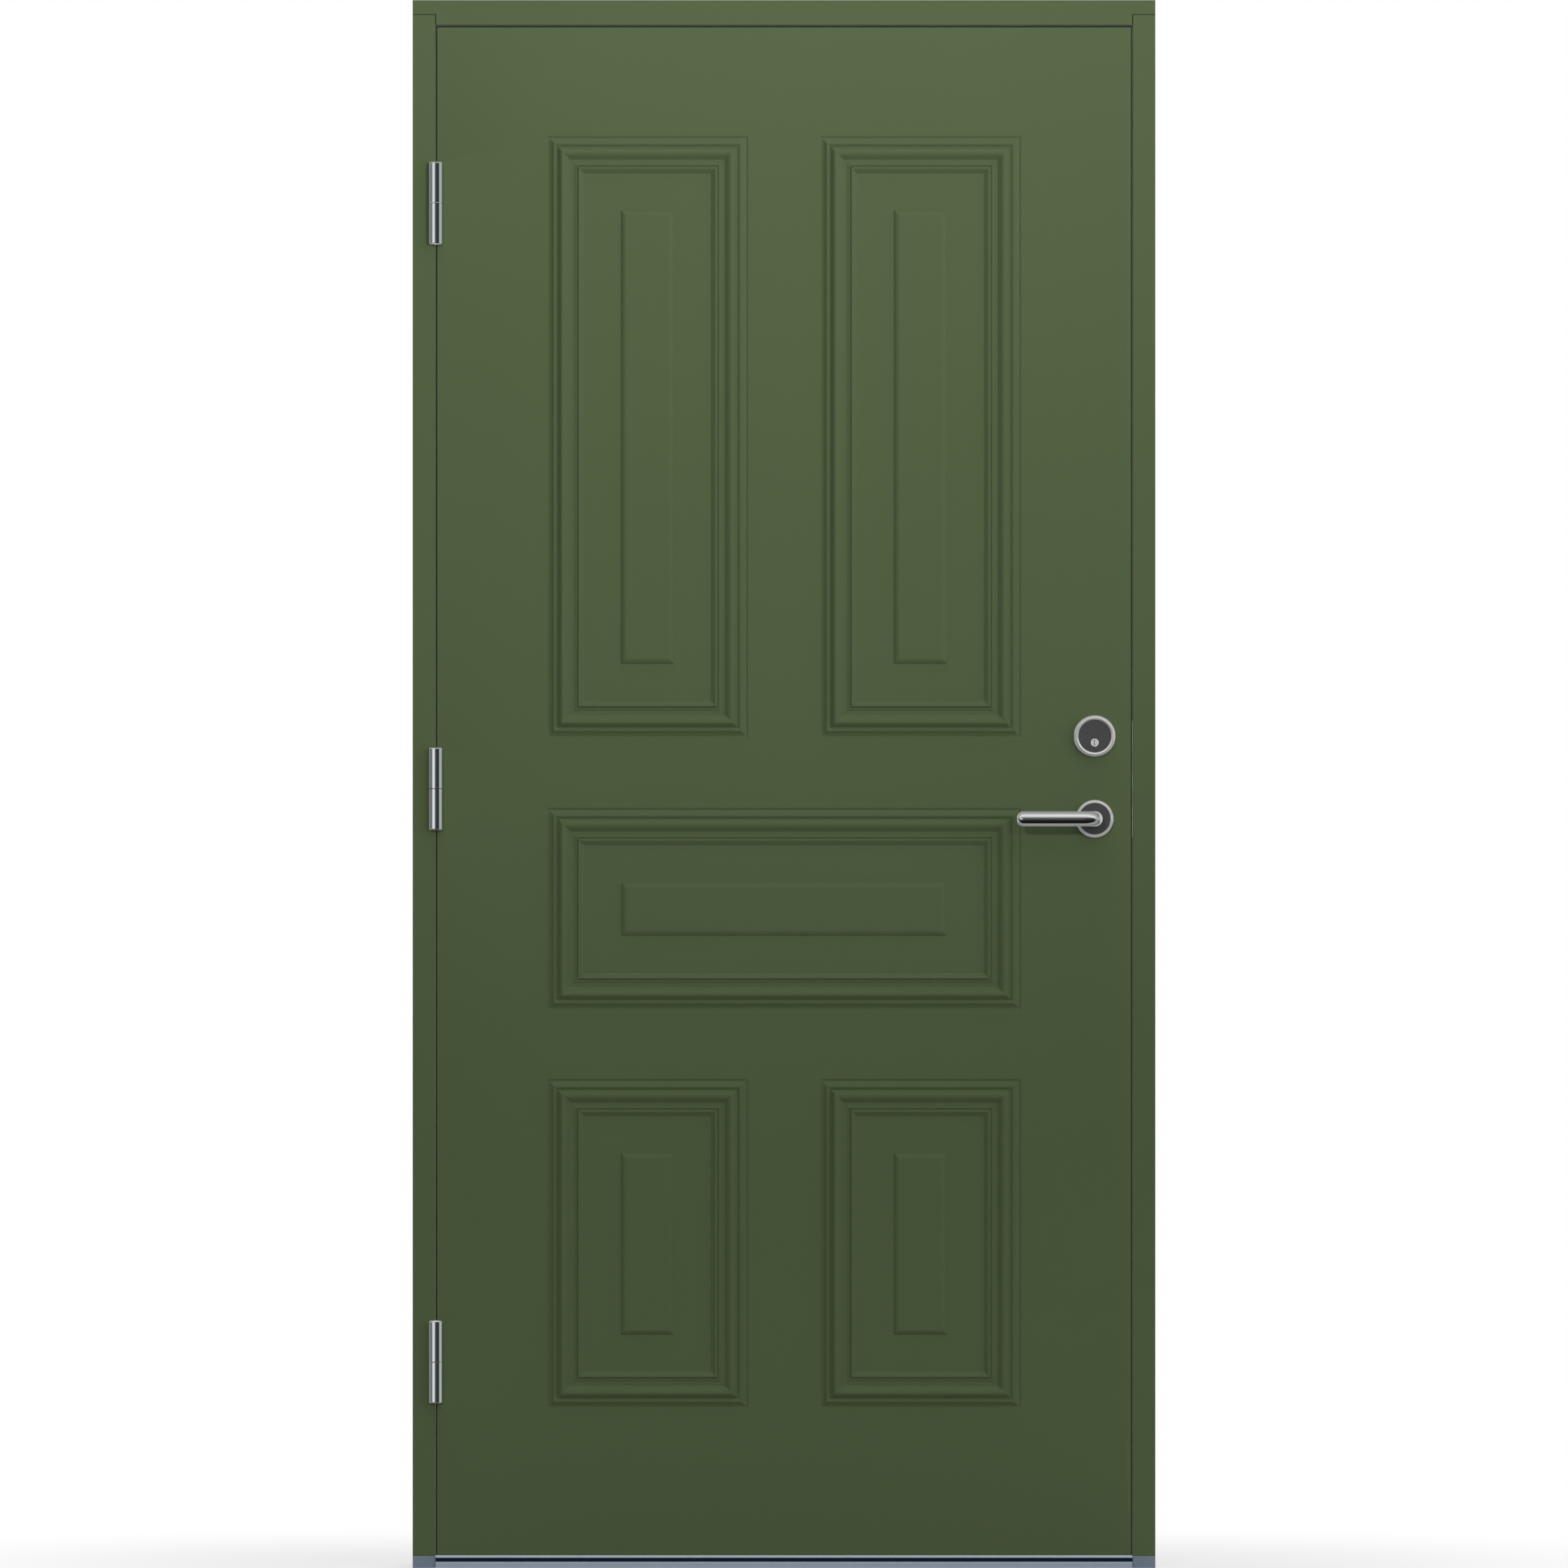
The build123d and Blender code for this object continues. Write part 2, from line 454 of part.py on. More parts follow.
# Hinges: two-knuckle lift-off hinges. A plate let into the leaf's edge carries the upper knuckle and a plate
# let into the jamb carries the lower one. The pin is fast in the lower knuckle, and a washer parts the two.
plate_y0 = Y_OUT
plate_y1 = Y_OUT + HINGE_PLATE_DEEP
washer_r = HINGE_R - HINGE_CROWN
screw_reach = HINGE_LEN / 2 - HINGE_SCREW_INSET
pins = []
washers = []
leaf_hinge_screws = []
frame_hinge_screws = []
for name, zj in zip(HINGE_NAMES, HINGE_Z):
    zlo = zj - HINGE_LEN / 2
    zhi = zj + HINGE_LEN / 2
    up_foot = zj + WASHER_T / 2 + HINGE_PLAY
    down_top = zj - WASHER_T / 2
    # leaf half
    leaf_plate = block(-X_LEAF, -X_LEAF + HINGE_PLATE_T, plate_y0, plate_y1, zlo, zhi)
    outer_skin -= leaf_plate
    hinge_stile -= leaf_plate
    neck_hi = zhi - HINGE_CROWN - 0.5
    neck_lo = zlo + HINGE_CROWN + 0.5
    knuckle = rod_z(PIN_X, PIN_Y, HINGE_R, up_foot, zhi)
    knuckle = fillet(knuckle.edges().filter_by(GeomType.CIRCLE).group_by(Axis.Z)[-1], HINGE_CROWN)
    leaf_neck = block(-X_LEAF, -X_LEAF + HINGE_PLATE_T, PIN_Y, plate_y0, up_foot, neck_hi)
    leaf_half = leaf_plate + leaf_neck + knuckle
    leaf_half -= rod_z(PIN_X, PIN_Y, HINGE_PIN_R + RUN_FIT, up_foot - 1, zhi - HINGE_CAP)
    # frame half
    frame_plate = block(-X_CHEEK - HINGE_PLATE_T, -X_CHEEK, plate_y0, plate_y1, zlo, zhi)
    hinge_jamb -= frame_plate
    knuckle = rod_z(PIN_X, PIN_Y, HINGE_R, zlo, down_top)
    knuckle = fillet(knuckle.edges().filter_by(GeomType.CIRCLE).group_by(Axis.Z)[0], HINGE_CROWN)
    frame_neck = block(-X_CHEEK - HINGE_PLATE_T, -X_CHEEK, PIN_Y, plate_y0, neck_lo, down_top)
    frame_half = frame_plate + frame_neck + knuckle
    frame_half -= rod_z(PIN_X, PIN_Y, HINGE_PIN_R, zlo + HINGE_CAP, down_top + 1)
    pin = rod_z(PIN_X, PIN_Y, HINGE_PIN_R, zlo + HINGE_CAP, zhi - HINGE_CAP - PIN_TIP)
    pins.append(chamfer(pin.edges().filter_by(GeomType.CIRCLE).group_by(Axis.Z)[-1], 1.0))
    washers.append(
        rod_z(PIN_X, PIN_Y, washer_r, down_top, down_top + WASHER_T)
        - rod_z(PIN_X, PIN_Y, HINGE_PIN_R, down_top - 1, down_top + WASHER_T + 1)
    )
    for step in range(4):
        z = zj - screw_reach + step * 2 * screw_reach / 3
        y = plate_y0 + HINGE_PLATE_DEEP * (0.4 if step % 2 == 0 else 0.72)
        for sign, plate_x, store in ((1, -X_LEAF, leaf_hinge_screws), (-1, -X_CHEEK, frame_hinge_screws)):
            length = HINGE_SCREW_L if sign > 0 else JAMB_FACE - SCREW_SHORT
            size = (HINGE_SCREW_R, HINGE_SCREW_HEAD, length)
            store.append(screw((plate_x, y, z), (sign, 0, 0), *size))
            cut = screw((plate_x, y, z), (sign, 0, 0), *size, recess=False)
            if sign > 0:
                leaf_half -= cut
                hinge_stile -= cut
            else:
                frame_half -= cut
                hinge_jamb -= cut
    save(f"{name}_hinge_leaf_half", leaf_half)
    save(f"{name}_hinge_frame_half", frame_half)
save("hinge_pins", *pins)
save("hinge_washers", *washers)
save("leaf_hinge_screws", *leaf_hinge_screws)
save("frame_hinge_screws", *frame_hinge_screws)

# Mortise lock: a faceplate in the edge of the leaf and a steel case behind it. The case is an open tray with
# a screwed-on cover. The follower, the latch, the cam and the dead bolt work inside it.
FACE_T = 3.0
FACE_W = 25.0
CASE_T = 16.0
CASE_DEPTH = 75.0
CASE_WALL = 1.5
CASE_FRONT = 3.0
CASE_PLAY = 0.5
CASE_UNDER = 36.6
CASE_OVER = 36.0
FACE_UNDER = 68.0
FACE_OVER = 66.0
FACE_ROUND = 8.0
LATCH_UP = 29.4
BOLT_DOWN = 25.2
case_x1 = X_LEAF - FACE_T
case_x0 = case_x1 - CASE_DEPTH
case_z0 = LEVER_Z - CASE_UNDER
case_z1 = PLUG_Z + CASE_OVER
case_y0 = Y_MID - CASE_T / 2
case_y1 = Y_MID + CASE_T / 2
room_y0 = case_y0 + CASE_WALL
room_y1 = case_y1 - CASE_WALL
face_z0 = LEVER_Z - FACE_UNDER
face_z1 = PLUG_Z + FACE_OVER
LATCH_Z = LEVER_Z + LATCH_UP
LATCH_H = 20.0
LATCH_T = room_y1 - room_y0 - 1.0
LATCH_OUT = 12.0
BOLT_Z = PLUG_Z - BOLT_DOWN
BOLT_H = 26.0
BOLT_T = LATCH_T
BOLT_OUT = 20.0
SLIDE_CLEAR = 0.3

faceplate = block(X_LEAF - FACE_T, X_LEAF, Y_MID - FACE_W / 2, Y_MID + FACE_W / 2, face_z0, face_z1)
faceplate = fillet(faceplate.edges().filter_by(Axis.X), min(FACE_ROUND, 0.4 * FACE_W))
lock_stile -= faceplate
lock_stile -= block(
    case_x0 - CASE_PLAY,
    case_x1,
    case_y0 - CASE_PLAY,
    case_y1 + CASE_PLAY,
    case_z0 - CASE_PLAY,
    case_z1 + CASE_PLAY,
)
lock_case = block(case_x0, case_x1, case_y0, room_y1, case_z0, case_z1)
lock_case -= block(
    case_x0 + CASE_WALL, case_x1 - CASE_FRONT, room_y0, room_y1 + 1, case_z0 + CASE_WALL, case_z1 - CASE_WALL
)
lock_cover = block(case_x0, case_x1, room_y1, case_y1, case_z0, case_z1)

# windows for the latch and the dead bolt
latch_window = block(
    case_x1 - CASE_FRONT - 1,
    X_LEAF + 1,
    Y_MID - LATCH_T / 2 - SLIDE_CLEAR,
    Y_MID + LATCH_T / 2 + SLIDE_CLEAR,
    LATCH_Z - LATCH_H / 2 - SLIDE_CLEAR,
    LATCH_Z + LATCH_H / 2 + SLIDE_CLEAR,
)
bolt_window = block(
    case_x1 - CASE_FRONT - 1,
    X_LEAF + 1,
    Y_MID - BOLT_T / 2 - SLIDE_CLEAR,
    Y_MID + BOLT_T / 2 + SLIDE_CLEAR,
    BOLT_Z - BOLT_H / 2 - SLIDE_CLEAR,
    BOLT_Z + BOLT_H / 2 + SLIDE_CLEAR,
)
faceplate -= latch_window + bolt_window
lock_case -= latch_window + bolt_window

# faceplate screws into the stile and into the case front
FACE_SCREW = (2.1, 4.1, 32.0)
FACE_SCREW_INSET = 10.0
FRONT_SCREW = (1.5, 2.9, FACE_T + CASE_FRONT)
COVER_SCREW = (1.25, 2.2, 9.0)
POST_R = 3.2
faceplate_screws = []
case_screws = []
for z in (face_z0 + FACE_SCREW_INSET, face_z1 - FACE_SCREW_INSET):
    cut = screw((X_LEAF, Y_MID, z), (-1, 0, 0), *FACE_SCREW, recess=False)
    faceplate -= cut
    lock_stile -= cut
    faceplate_screws.append(screw((X_LEAF, Y_MID, z), (-1, 0, 0), *FACE_SCREW))
for z in (case_z0 + 18.0, case_z1 - 14.0):
    cut = screw((X_LEAF, Y_MID, z), (-1, 0, 0), *FRONT_SCREW, recess=False)
    faceplate -= cut
    lock_case -= cut
    case_screws.append(screw((X_LEAF, Y_MID, z), (-1, 0, 0), *FRONT_SCREW))
for x, z in (
    (case_x0 + 6.0, case_z0 + 6.0),
    (case_x0 + 6.0, case_z1 - 6.0),
    (case_x1 - 9.0, case_z1 - 6.0),
    (case_x1 - 9.0, case_z0 + 6.0),
):
    lock_case += rod_y(x, z, POST_R, room_y0, room_y1)
    cut = screw((x, case_y1, z), (0, -1, 0), *COVER_SCREW, recess=False)
    lock_case -= cut
    lock_cover -= cut
    case_screws.append(screw((x, case_y1, z), (0, -1, 0), *COVER_SCREW))

# follower: a hub with a square hole, journals in the case, and an arm whose round tip works in the latch tail
SPINDLE = 8.0
FOLLOWER_R = 10.0
JOURNAL_R = 8.0
ARM_REACH = 17.0
TIP_R = 2.6
TAIL_T = 4.0
follower = rod_y(LOCK_X, LEVER_Z, FOLLOWER_R, room_y0 + 0.2, room_y1 - 0.2)
follower += rod_y(LOCK_X, LEVER_Z, JOURNAL_R, case_y0, case_y1)
follower += block(
    LOCK_X - 1.5, LOCK_X + 1.5, Y_MID - TAIL_T / 2, Y_MID + TAIL_T / 2, LEVER_Z, LEVER_Z + ARM_REACH
)
follower += rod_y(LOCK_X, LEVER_Z + ARM_REACH, TIP_R, Y_MID - TAIL_T / 2, Y_MID + TAIL_T / 2)
follower -= block(
    LOCK_X - SPINDLE / 2,
    LOCK_X + SPINDLE / 2,
    case_y0 - 1,
    case_y1 + 1,
    LEVER_Z - SPINDLE / 2,
    LEVER_Z + SPINDLE / 2,
)
journal_bore = rod_y(LOCK_X, LEVER_Z, JOURNAL_R + RUN_FIT, case_y0 - 1, case_y1 + 1)
lock_case -= journal_bore
lock_cover -= journal_bore

# latch bolt: a head bevelled on the closing side, and a tail with a notch round the follower's tip
latch_x1 = X_LEAF + LATCH_OUT
latch_x0 = X_LEAF - 20.0
latch_bolt = block(
    latch_x0,
    latch_x1,
    Y_MID - LATCH_T / 2,
    Y_MID + LATCH_T / 2,
    LATCH_Z - LATCH_H / 2,
    LATCH_Z + LATCH_H / 2,
)
bevel = [
    (X_LEAF + 1.0, Y_MID + LATCH_T / 2),
    (latch_x1 - 1.0, Y_MID - LATCH_T / 2 + 2.5),
    (latch_x1 + 1.0, Y_MID - LATCH_T / 2 + 2.5),
    (latch_x1 + 1.0, Y_MID + LATCH_T / 2 + 1.0),
    (X_LEAF + 1.0, Y_MID + LATCH_T / 2 + 1.0),
]
latch_bolt -= extrude(Pos(0, 0, LATCH_Z - LATCH_H) * make_face(Polyline(*bevel, close=True)), 2 * LATCH_H)
tail_z0 = LEVER_Z + FOLLOWER_R + 1.0
latch_bolt += block(
    LOCK_X - 9.0, latch_x0, Y_MID - TAIL_T / 2, Y_MID + TAIL_T / 2, tail_z0, LATCH_Z + LATCH_H / 2 - 4.0
)
NOTCH = 4.0
latch_bolt -= block(
    LOCK_X - NOTCH,
    LOCK_X + NOTCH,
    Y_MID - TAIL_T,
    Y_MID + TAIL_T,
    tail_z0 - 1,
    LEVER_Z + ARM_REACH + TIP_R + 1.3,
)
save("latch_bolt", latch_bolt)

# lock cam: turned by the tailpiece, with a crank pin that throws the dead bolt
CAM_R = 9.0
CAM_JOURNAL_R = 7.0
CRANK = BOLT_OUT / 2 / 0.70711
CRANK_PIN_R = 2.5
TAILPIECE_W = 8.0
TAILPIECE_T = 3.0
crank_x = LOCK_X - BOLT_OUT / 2
crank_z = PLUG_Z - BOLT_OUT / 2
arm_y0 = room_y0 + 0.3
arm_y1 = Y_MID - TAIL_T / 2 - 0.5
lock_cam = rod_y(LOCK_X, PLUG_Z, CAM_R, room_y0 + 0.2, room_y1 - 0.2)
lock_cam += rod_y(LOCK_X, PLUG_Z, CAM_JOURNAL_R, case_y0, case_y1)
crank_arm = Pos(LOCK_X, (arm_y0 + arm_y1) / 2, PLUG_Z) * Rot(0, 45, 0) * Pos(0, 0, -CRANK / 2) * Box(
    6.0, arm_y1 - arm_y0, CRANK
)
lock_cam += crank_arm
lock_cam += rod_y(crank_x, crank_z, 3.0, arm_y0, arm_y1)
lock_cam += rod_y(crank_x, crank_z, CRANK_PIN_R, arm_y0, Y_MID + TAIL_T / 2 + 0.8)
tailpiece_slot = block(
    LOCK_X - TAILPIECE_W / 2,
    LOCK_X + TAILPIECE_W / 2,
    case_y0 - 1,
    case_y1 + 1,
    PLUG_Z - TAILPIECE_T / 2,
    PLUG_Z + TAILPIECE_T / 2,
)
lock_cam -= tailpiece_slot
cam_bore = rod_y(LOCK_X, PLUG_Z, CAM_JOURNAL_R + RUN_FIT, case_y0 - 1, case_y1 + 1)
lock_case -= cam_bore
lock_cover -= cam_bore
save("lock_cam", lock_cam)

# dead bolt: a plain head and a tail with an open slot round the crank pin
bolt_x0 = X_LEAF - 40.0
dead_bolt = block(
    bolt_x0,
    X_LEAF,
    Y_MID - BOLT_T / 2,
    Y_MID + BOLT_T / 2,
    BOLT_Z - BOLT_H / 2,
    BOLT_Z + BOLT_H / 2,
)
nose = dead_bolt.edges().group_by(Axis.X)[-1]
dead_bolt = chamfer(nose, 0.8)
dead_bolt += block(
    crank_x - 8.0,
    bolt_x0,
    Y_MID - TAIL_T / 2,
    Y_MID + TAIL_T / 2,
    BOLT_Z - 9.0,
    crank_z + 0.4,
)
dead_bolt -= block(
    crank_x - CRANK_PIN_R - 0.8,
    crank_x + CRANK_PIN_R + 0.8,
    Y_MID - TAIL_T,
    Y_MID + TAIL_T,
    PLUG_Z - CRANK - CRANK_PIN_R - 0.6,
    crank_z + 2,
)
save("dead_bolt", dead_bolt)

# Spindle, roses and levers. Each lever turns in its rose, and a square spindle joins both to the follower.
ROSE_R = 25.0
ROSE_T = 9.0
DISC_R = 21.3
DISC_T = 1.5
NECK_R = 9.0
GRIP_R = 9.75
GRIP_OUT = 45.0
BEND_R = 16.0
GRIP_LEN = 103.9
GRIP_ROUND = 8.0
ROSE_SCREW = 16.3
COLLAR_R = 12.0
COLLAR_OUT = 2.6
LEVER_PLAY = 0.4
HOLE_PLAY = 1.0
rose_y = Y_OUT - ROSE_T
spindle_half = LEAF_T / 2 + 25.5
spindle = block(
    LOCK_X - SPINDLE / 2,
    LOCK_X + SPINDLE / 2,
    Y_MID - spindle_half,
    Y_MID + spindle_half,
    LEVER_Z - SPINDLE / 2,
    LEVER_Z + SPINDLE / 2,
)
save("spindle", chamfer(spindle.edges().filter_by(GeomType.LINE).filter_by(Axis.X), 0.8))

rose_side = [
    (NECK_R + RUN_FIT, 0),
    (ROSE_R, 0),
    (ROSE_R, ROSE_T - 3.4),
    (ROSE_R - 2.2, ROSE_T - 0.3),
    (ROSE_R - 3.0, ROSE_T),
    (DISC_R, ROSE_T - 0.2),
    (DISC_R, ROSE_T - DISC_T),
    (COLLAR_R, ROSE_T - DISC_T),
    (COLLAR_R, ROSE_T + COLLAR_OUT - 0.7),
    (COLLAR_R - 0.7, ROSE_T + COLLAR_OUT),
    (NECK_R + RUN_FIT, ROSE_T + COLLAR_OUT),
]
rose = revolve(Plane.XZ * make_face(Polyline(*rose_side, close=True)), Axis.Z)
rose = Plane(origin=(LOCK_X, Y_OUT, LEVER_Z), z_dir=(0, -1, 0)) * rose
disc = rod_y(LOCK_X, LEVER_Z, DISC_R, rose_y + 0.3, rose_y + DISC_T)
disc -= rod_y(LOCK_X, LEVER_Z, COLLAR_R, rose_y - 1, Y_OUT)
inner_rose = mirror(rose, about=MID_PLANE)
save("outer_rose_disc", disc)
save("inner_rose_disc", mirror(disc, about=MID_PLANE))

neck_end = Y_OUT - GRIP_OUT
path_bend = Y_OUT - GRIP_OUT + BEND_R
lever_y = rose_y - COLLAR_OUT - LEVER_PLAY
neck = rod_y(LOCK_X, LEVER_Z, NECK_R, lever_y - 1, Y_OUT - 0.5)
path = Line((LOCK_X, lever_y, LEVER_Z), (LOCK_X, path_bend, LEVER_Z))
path += ThreePointArc(
    (LOCK_X, path_bend, LEVER_Z),
    (LOCK_X - BEND_R * 0.29289, neck_end + BEND_R * 0.29289, LEVER_Z),
    (LOCK_X - BEND_R, neck_end, LEVER_Z),
)
path += Line((LOCK_X - BEND_R, neck_end, LEVER_Z), (LOCK_X - GRIP_LEN, neck_end, LEVER_Z))
ring = Plane(origin=(LOCK_X, lever_y, LEVER_Z), z_dir=(0, -1, 0)) * Circle(GRIP_R)
outer_lever = sweep(ring, path=path)
grip_end = outer_lever.edges().filter_by(GeomType.CIRCLE).group_by(Axis.X)[0]
outer_lever = fillet(grip_end, min(GRIP_ROUND, 0.85 * GRIP_R))
outer_lever += neck
outer_lever -= block(
    LOCK_X - SPINDLE / 2,
    LOCK_X + SPINDLE / 2,
    Y_MID - spindle_half,
    Y_MID,
    LEVER_Z - SPINDLE / 2,
    LEVER_Z + SPINDLE / 2,
)
GRUB_R = 2.5
GRUB_SUNK = 0.8
grub_y = lever_y - 6.5
grub_z = LEVER_Z - GRIP_R + GRUB_SUNK
grub_hole = rod_z(LOCK_X, grub_y, GRUB_R, LEVER_Z - GRIP_R - 2, LEVER_Z - SPINDLE / 2)
grub = rod_z(LOCK_X, grub_y, GRUB_R, grub_z, LEVER_Z - SPINDLE / 2)
hexagon = Pos(LOCK_X, grub_y, grub_z) * RegularPolygon(GRUB_R / 2, 6)
grub -= extrude(hexagon, 2.0)
outer_lever -= grub_hole
inner_lever = mirror(outer_lever, about=MID_PLANE)
save("outer_lever", outer_lever)
save("inner_lever", inner_lever)
save("lever_grub_screws", grub, mirror(grub, about=MID_PLANE))
save("follower", follower)

# rose screws: through bolts from the inner rose into the outer one, past the case
ROSE_BOLT_R = 2.0
ROSE_BOLT_HEAD = 3.6
rose_screws = []
inner_seat = Y_BACK + ROSE_T - DISC_T
screw_long = inner_seat - (rose_y + DISC_T + 2.0)
for dx in (-ROSE_SCREW, ROSE_SCREW):
    at = (LOCK_X + dx, inner_seat, LEVER_Z)
    size = (ROSE_BOLT_R, ROSE_BOLT_HEAD, screw_long)
    rose_screws.append(screw(at, (0, -1, 0), *size, head_t=2.4))
    cut = screw(at, (0, -1, 0), *size, head_t=2.4, recess=False)
    rose -= cut
    inner_rose -= cut
    way = rod_y(LOCK_X + dx, LEVER_Z, ROSE_BOLT_R + HOLE_PLAY / 2, Y_OUT - 0.001, Y_BACK + 0.001)
    lock_case -= way
    lock_cover -= way
    lock_stile -= way
    outer_skin -= way
    inner_skin -= way
save("outer_rose", rose)
save("inner_rose", inner_rose)
save("rose_screws", *rose_screws)
neck_way = rod_y(LOCK_X, LEVER_Z, NECK_R + HOLE_PLAY, Y_OUT - 1, Y_BACK + 1)
lock_stile -= neck_way
outer_skin -= neck_way
inner_skin -= neck_way

# Cylinder: a ring on the face of the leaf, a body through it whose plug lies below the ring's centre, and a
# thumbturn on the same line inside. The tailpiece joins plug, cam and thumbturn.
RING_R = 27.5
RING_T = 12.0
BODY_R = 21.0
BODY_FLANGE_R = 22.0
BODY_FLANGE_T = 3.0
BODY_BACK = 2.0
PLUG_R = 6.2
PLUG_PROUD = 0.6
KEYWAY_W = 1.4
KEYWAY_WIDE = 2.6
KEYWAY_H = 6.8
KEYWAY_NARROW = 3.2
KEYWAY_DEEP = 24.0
ring_y = Y_OUT - RING_T
body_y = ring_y + BODY_BACK
ring_side = [
    (BODY_R, 0),
    (RING_R, 0),
    (RING_R, RING_T - 6.5),
    (RING_R - 1.2, RING_T - 2.6),
    (RING_R - 2.6, RING_T - 0.4),
    (RING_R - 3.4, RING_T),
    (BODY_FLANGE_R + 0.5, RING_T - 1.0),
    (BODY_FLANGE_R, RING_T - BODY_BACK),
    (BODY_FLANGE_R, RING_T - BODY_BACK - BODY_FLANGE_T),
    (BODY_R, RING_T - BODY_BACK - BODY_FLANGE_T),
]
cylinder_ring = revolve(Plane.XZ * make_face(Polyline(*ring_side, close=True)), Axis.Z)
cylinder_ring = Plane(origin=(LOCK_X, Y_OUT, RING_Z), z_dir=(0, -1, 0)) * cylinder_ring
save("cylinder_ring", cylinder_ring)

cylinder_body = rod_y(LOCK_X, RING_Z, BODY_FLANGE_R, body_y, body_y + BODY_FLANGE_T)
cylinder_body += rod_y(LOCK_X, RING_Z, BODY_R, body_y + BODY_FLANGE_T, case_y0)
cylinder_body -= rod_y(LOCK_X, PLUG_Z, PLUG_R + RUN_FIT, body_y - 1, case_y0 + 1)
plug_mouth = cylinder_body.edges().filter_by(GeomType.CIRCLE).group_by(Axis.Y)[0].sort_by(SortBy.RADIUS)[0]
cylinder_body = chamfer(plug_mouth, 0.5)
plug_y0 = body_y - PLUG_PROUD
plug_y1 = case_y0 - 4.0
key_plug = rod_y(LOCK_X, PLUG_Z, PLUG_R, plug_y0, plug_y1)
key_plug = fillet(key_plug.edges().filter_by(GeomType.CIRCLE).group_by(Axis.Y)[0], 0.7)
for half_w, z0, z1 in (
    (KEYWAY_W / 2, -KEYWAY_H / 2, KEYWAY_H / 2),
    (KEYWAY_WIDE / 2, -KEYWAY_H / 2, -KEYWAY_NARROW / 2),
    (KEYWAY_WIDE / 2, KEYWAY_NARROW / 2, KEYWAY_H / 2),
):
    key_plug -= block(
        LOCK_X - half_w, LOCK_X + half_w, plug_y0 - 1, plug_y0 + KEYWAY_DEEP, PLUG_Z + z0, PLUG_Z + z1
    )
tail_y0 = plug_y1 - 8.0
key_plug -= block(
    LOCK_X - TAILPIECE_W / 2,
    LOCK_X + TAILPIECE_W / 2,
    tail_y0,
    plug_y1 + 1,
    PLUG_Z - TAILPIECE_T / 2,
    PLUG_Z + TAILPIECE_T / 2,
)
save("key_plug", key_plug)

# thumbturn: a hub that turns in its rose, with a flat grip
TURN_ROSE_T = 8.0
TURN_HUB_R = 7.0
TURN_GRIP_W = 9.0
TURN_GRIP_H = 30.0
TURN_GRIP_OUT = 16.0
turn_y0 = Y_BACK
turn_y1 = Y_BACK + TURN_ROSE_T
thumbturn_rose = rod_y(LOCK_X, RING_Z, RING_R, turn_y0, turn_y1)
rose_rim = thumbturn_rose.edges().filter_by(GeomType.CIRCLE).group_by(Axis.Y)[-1]
thumbturn_rose = fillet(rose_rim, 0.3 * TURN_ROSE_T)
thumbturn_rose -= rod_y(LOCK_X, PLUG_Z, TURN_HUB_R + RUN_FIT, turn_y0 - 1, turn_y1 + 1)
thumbturn = rod_y(LOCK_X, PLUG_Z, TURN_HUB_R, turn_y0 - 1.0, turn_y1 + 1.0)
grip = block(
    LOCK_X - TURN_GRIP_W / 2,
    LOCK_X + TURN_GRIP_W / 2,
    turn_y1 + 1.0,
    turn_y1 + 1.0 + TURN_GRIP_OUT,
    PLUG_Z - TURN_GRIP_H / 2,
    PLUG_Z + TURN_GRIP_H / 2,
)
grip = fillet(grip.edges().filter_by(Axis.Y), 0.44 * TURN_GRIP_W)
grip = fillet(grip.edges().group_by(Axis.Y)[-1], TURN_GRIP_W / 6)
thumbturn += grip
thumbturn -= block(
    LOCK_X - TAILPIECE_W / 2,
    LOCK_X + TAILPIECE_W / 2,
    turn_y0 - 2,
    turn_y1 + 4.0,
    PLUG_Z - TAILPIECE_T / 2,
    PLUG_Z + TAILPIECE_T / 2,
)
save("thumbturn", thumbturn)
tailpiece = block(
    LOCK_X - TAILPIECE_W / 2,
    LOCK_X + TAILPIECE_W / 2,
    tail_y0,
    turn_y1 + 4.0,
    PLUG_Z - TAILPIECE_T / 2,
    PLUG_Z + TAILPIECE_T / 2,
)
save("tailpiece", tailpiece)

# cylinder screws: from the thumbturn's rose through the case into the cylinder body
CYL_SCREW_X = 11.0
CYL_SCREW_UP = 13.1
CYL_SCREW_R = 2.5
CYL_SCREW_HEAD = 4.6
cylinder_screws = []
head_seat = turn_y1 - 1.0
cyl_long = head_seat - (body_y + BODY_FLANGE_T + 3.0)
for dx in (-CYL_SCREW_X, CYL_SCREW_X):
    at = (LOCK_X + dx, head_seat, RING_Z + CYL_SCREW_UP)
    size = (CYL_SCREW_R, CYL_SCREW_HEAD, cyl_long)
    cylinder_screws.append(screw(at, (0, -1, 0), *size, head_t=3.0))
    cut = screw(at, (0, -1, 0), *size, head_t=3.0, recess=False)
    cylinder_body -= cut
    thumbturn_rose -= cut
    thumbturn_rose -= rod_y(at[0], at[2], CYL_SCREW_HEAD, head_seat - 0.001, turn_y1 + 1)
    way = rod_y(at[0], at[2], CYL_SCREW_R + HOLE_PLAY / 2, case_y0, Y_BACK)
    lock_case -= way
    lock_cover -= way
    lock_stile -= way
    inner_skin -= way
save("cylinder_screws", *cylinder_screws)
save("cylinder_body", cylinder_body)
save("thumbturn_rose", thumbturn_rose)
body_way = rod_y(LOCK_X, RING_Z, BODY_R + HOLE_PLAY / 2, Y_OUT - 1, case_y0)
outer_skin -= body_way
lock_stile -= body_way
turn_way = rod_y(LOCK_X, PLUG_Z, TURN_HUB_R + HOLE_PLAY, case_y1, Y_BACK + 1)
lock_stile -= turn_way
inner_skin -= turn_way
save("lock_case", lock_case)
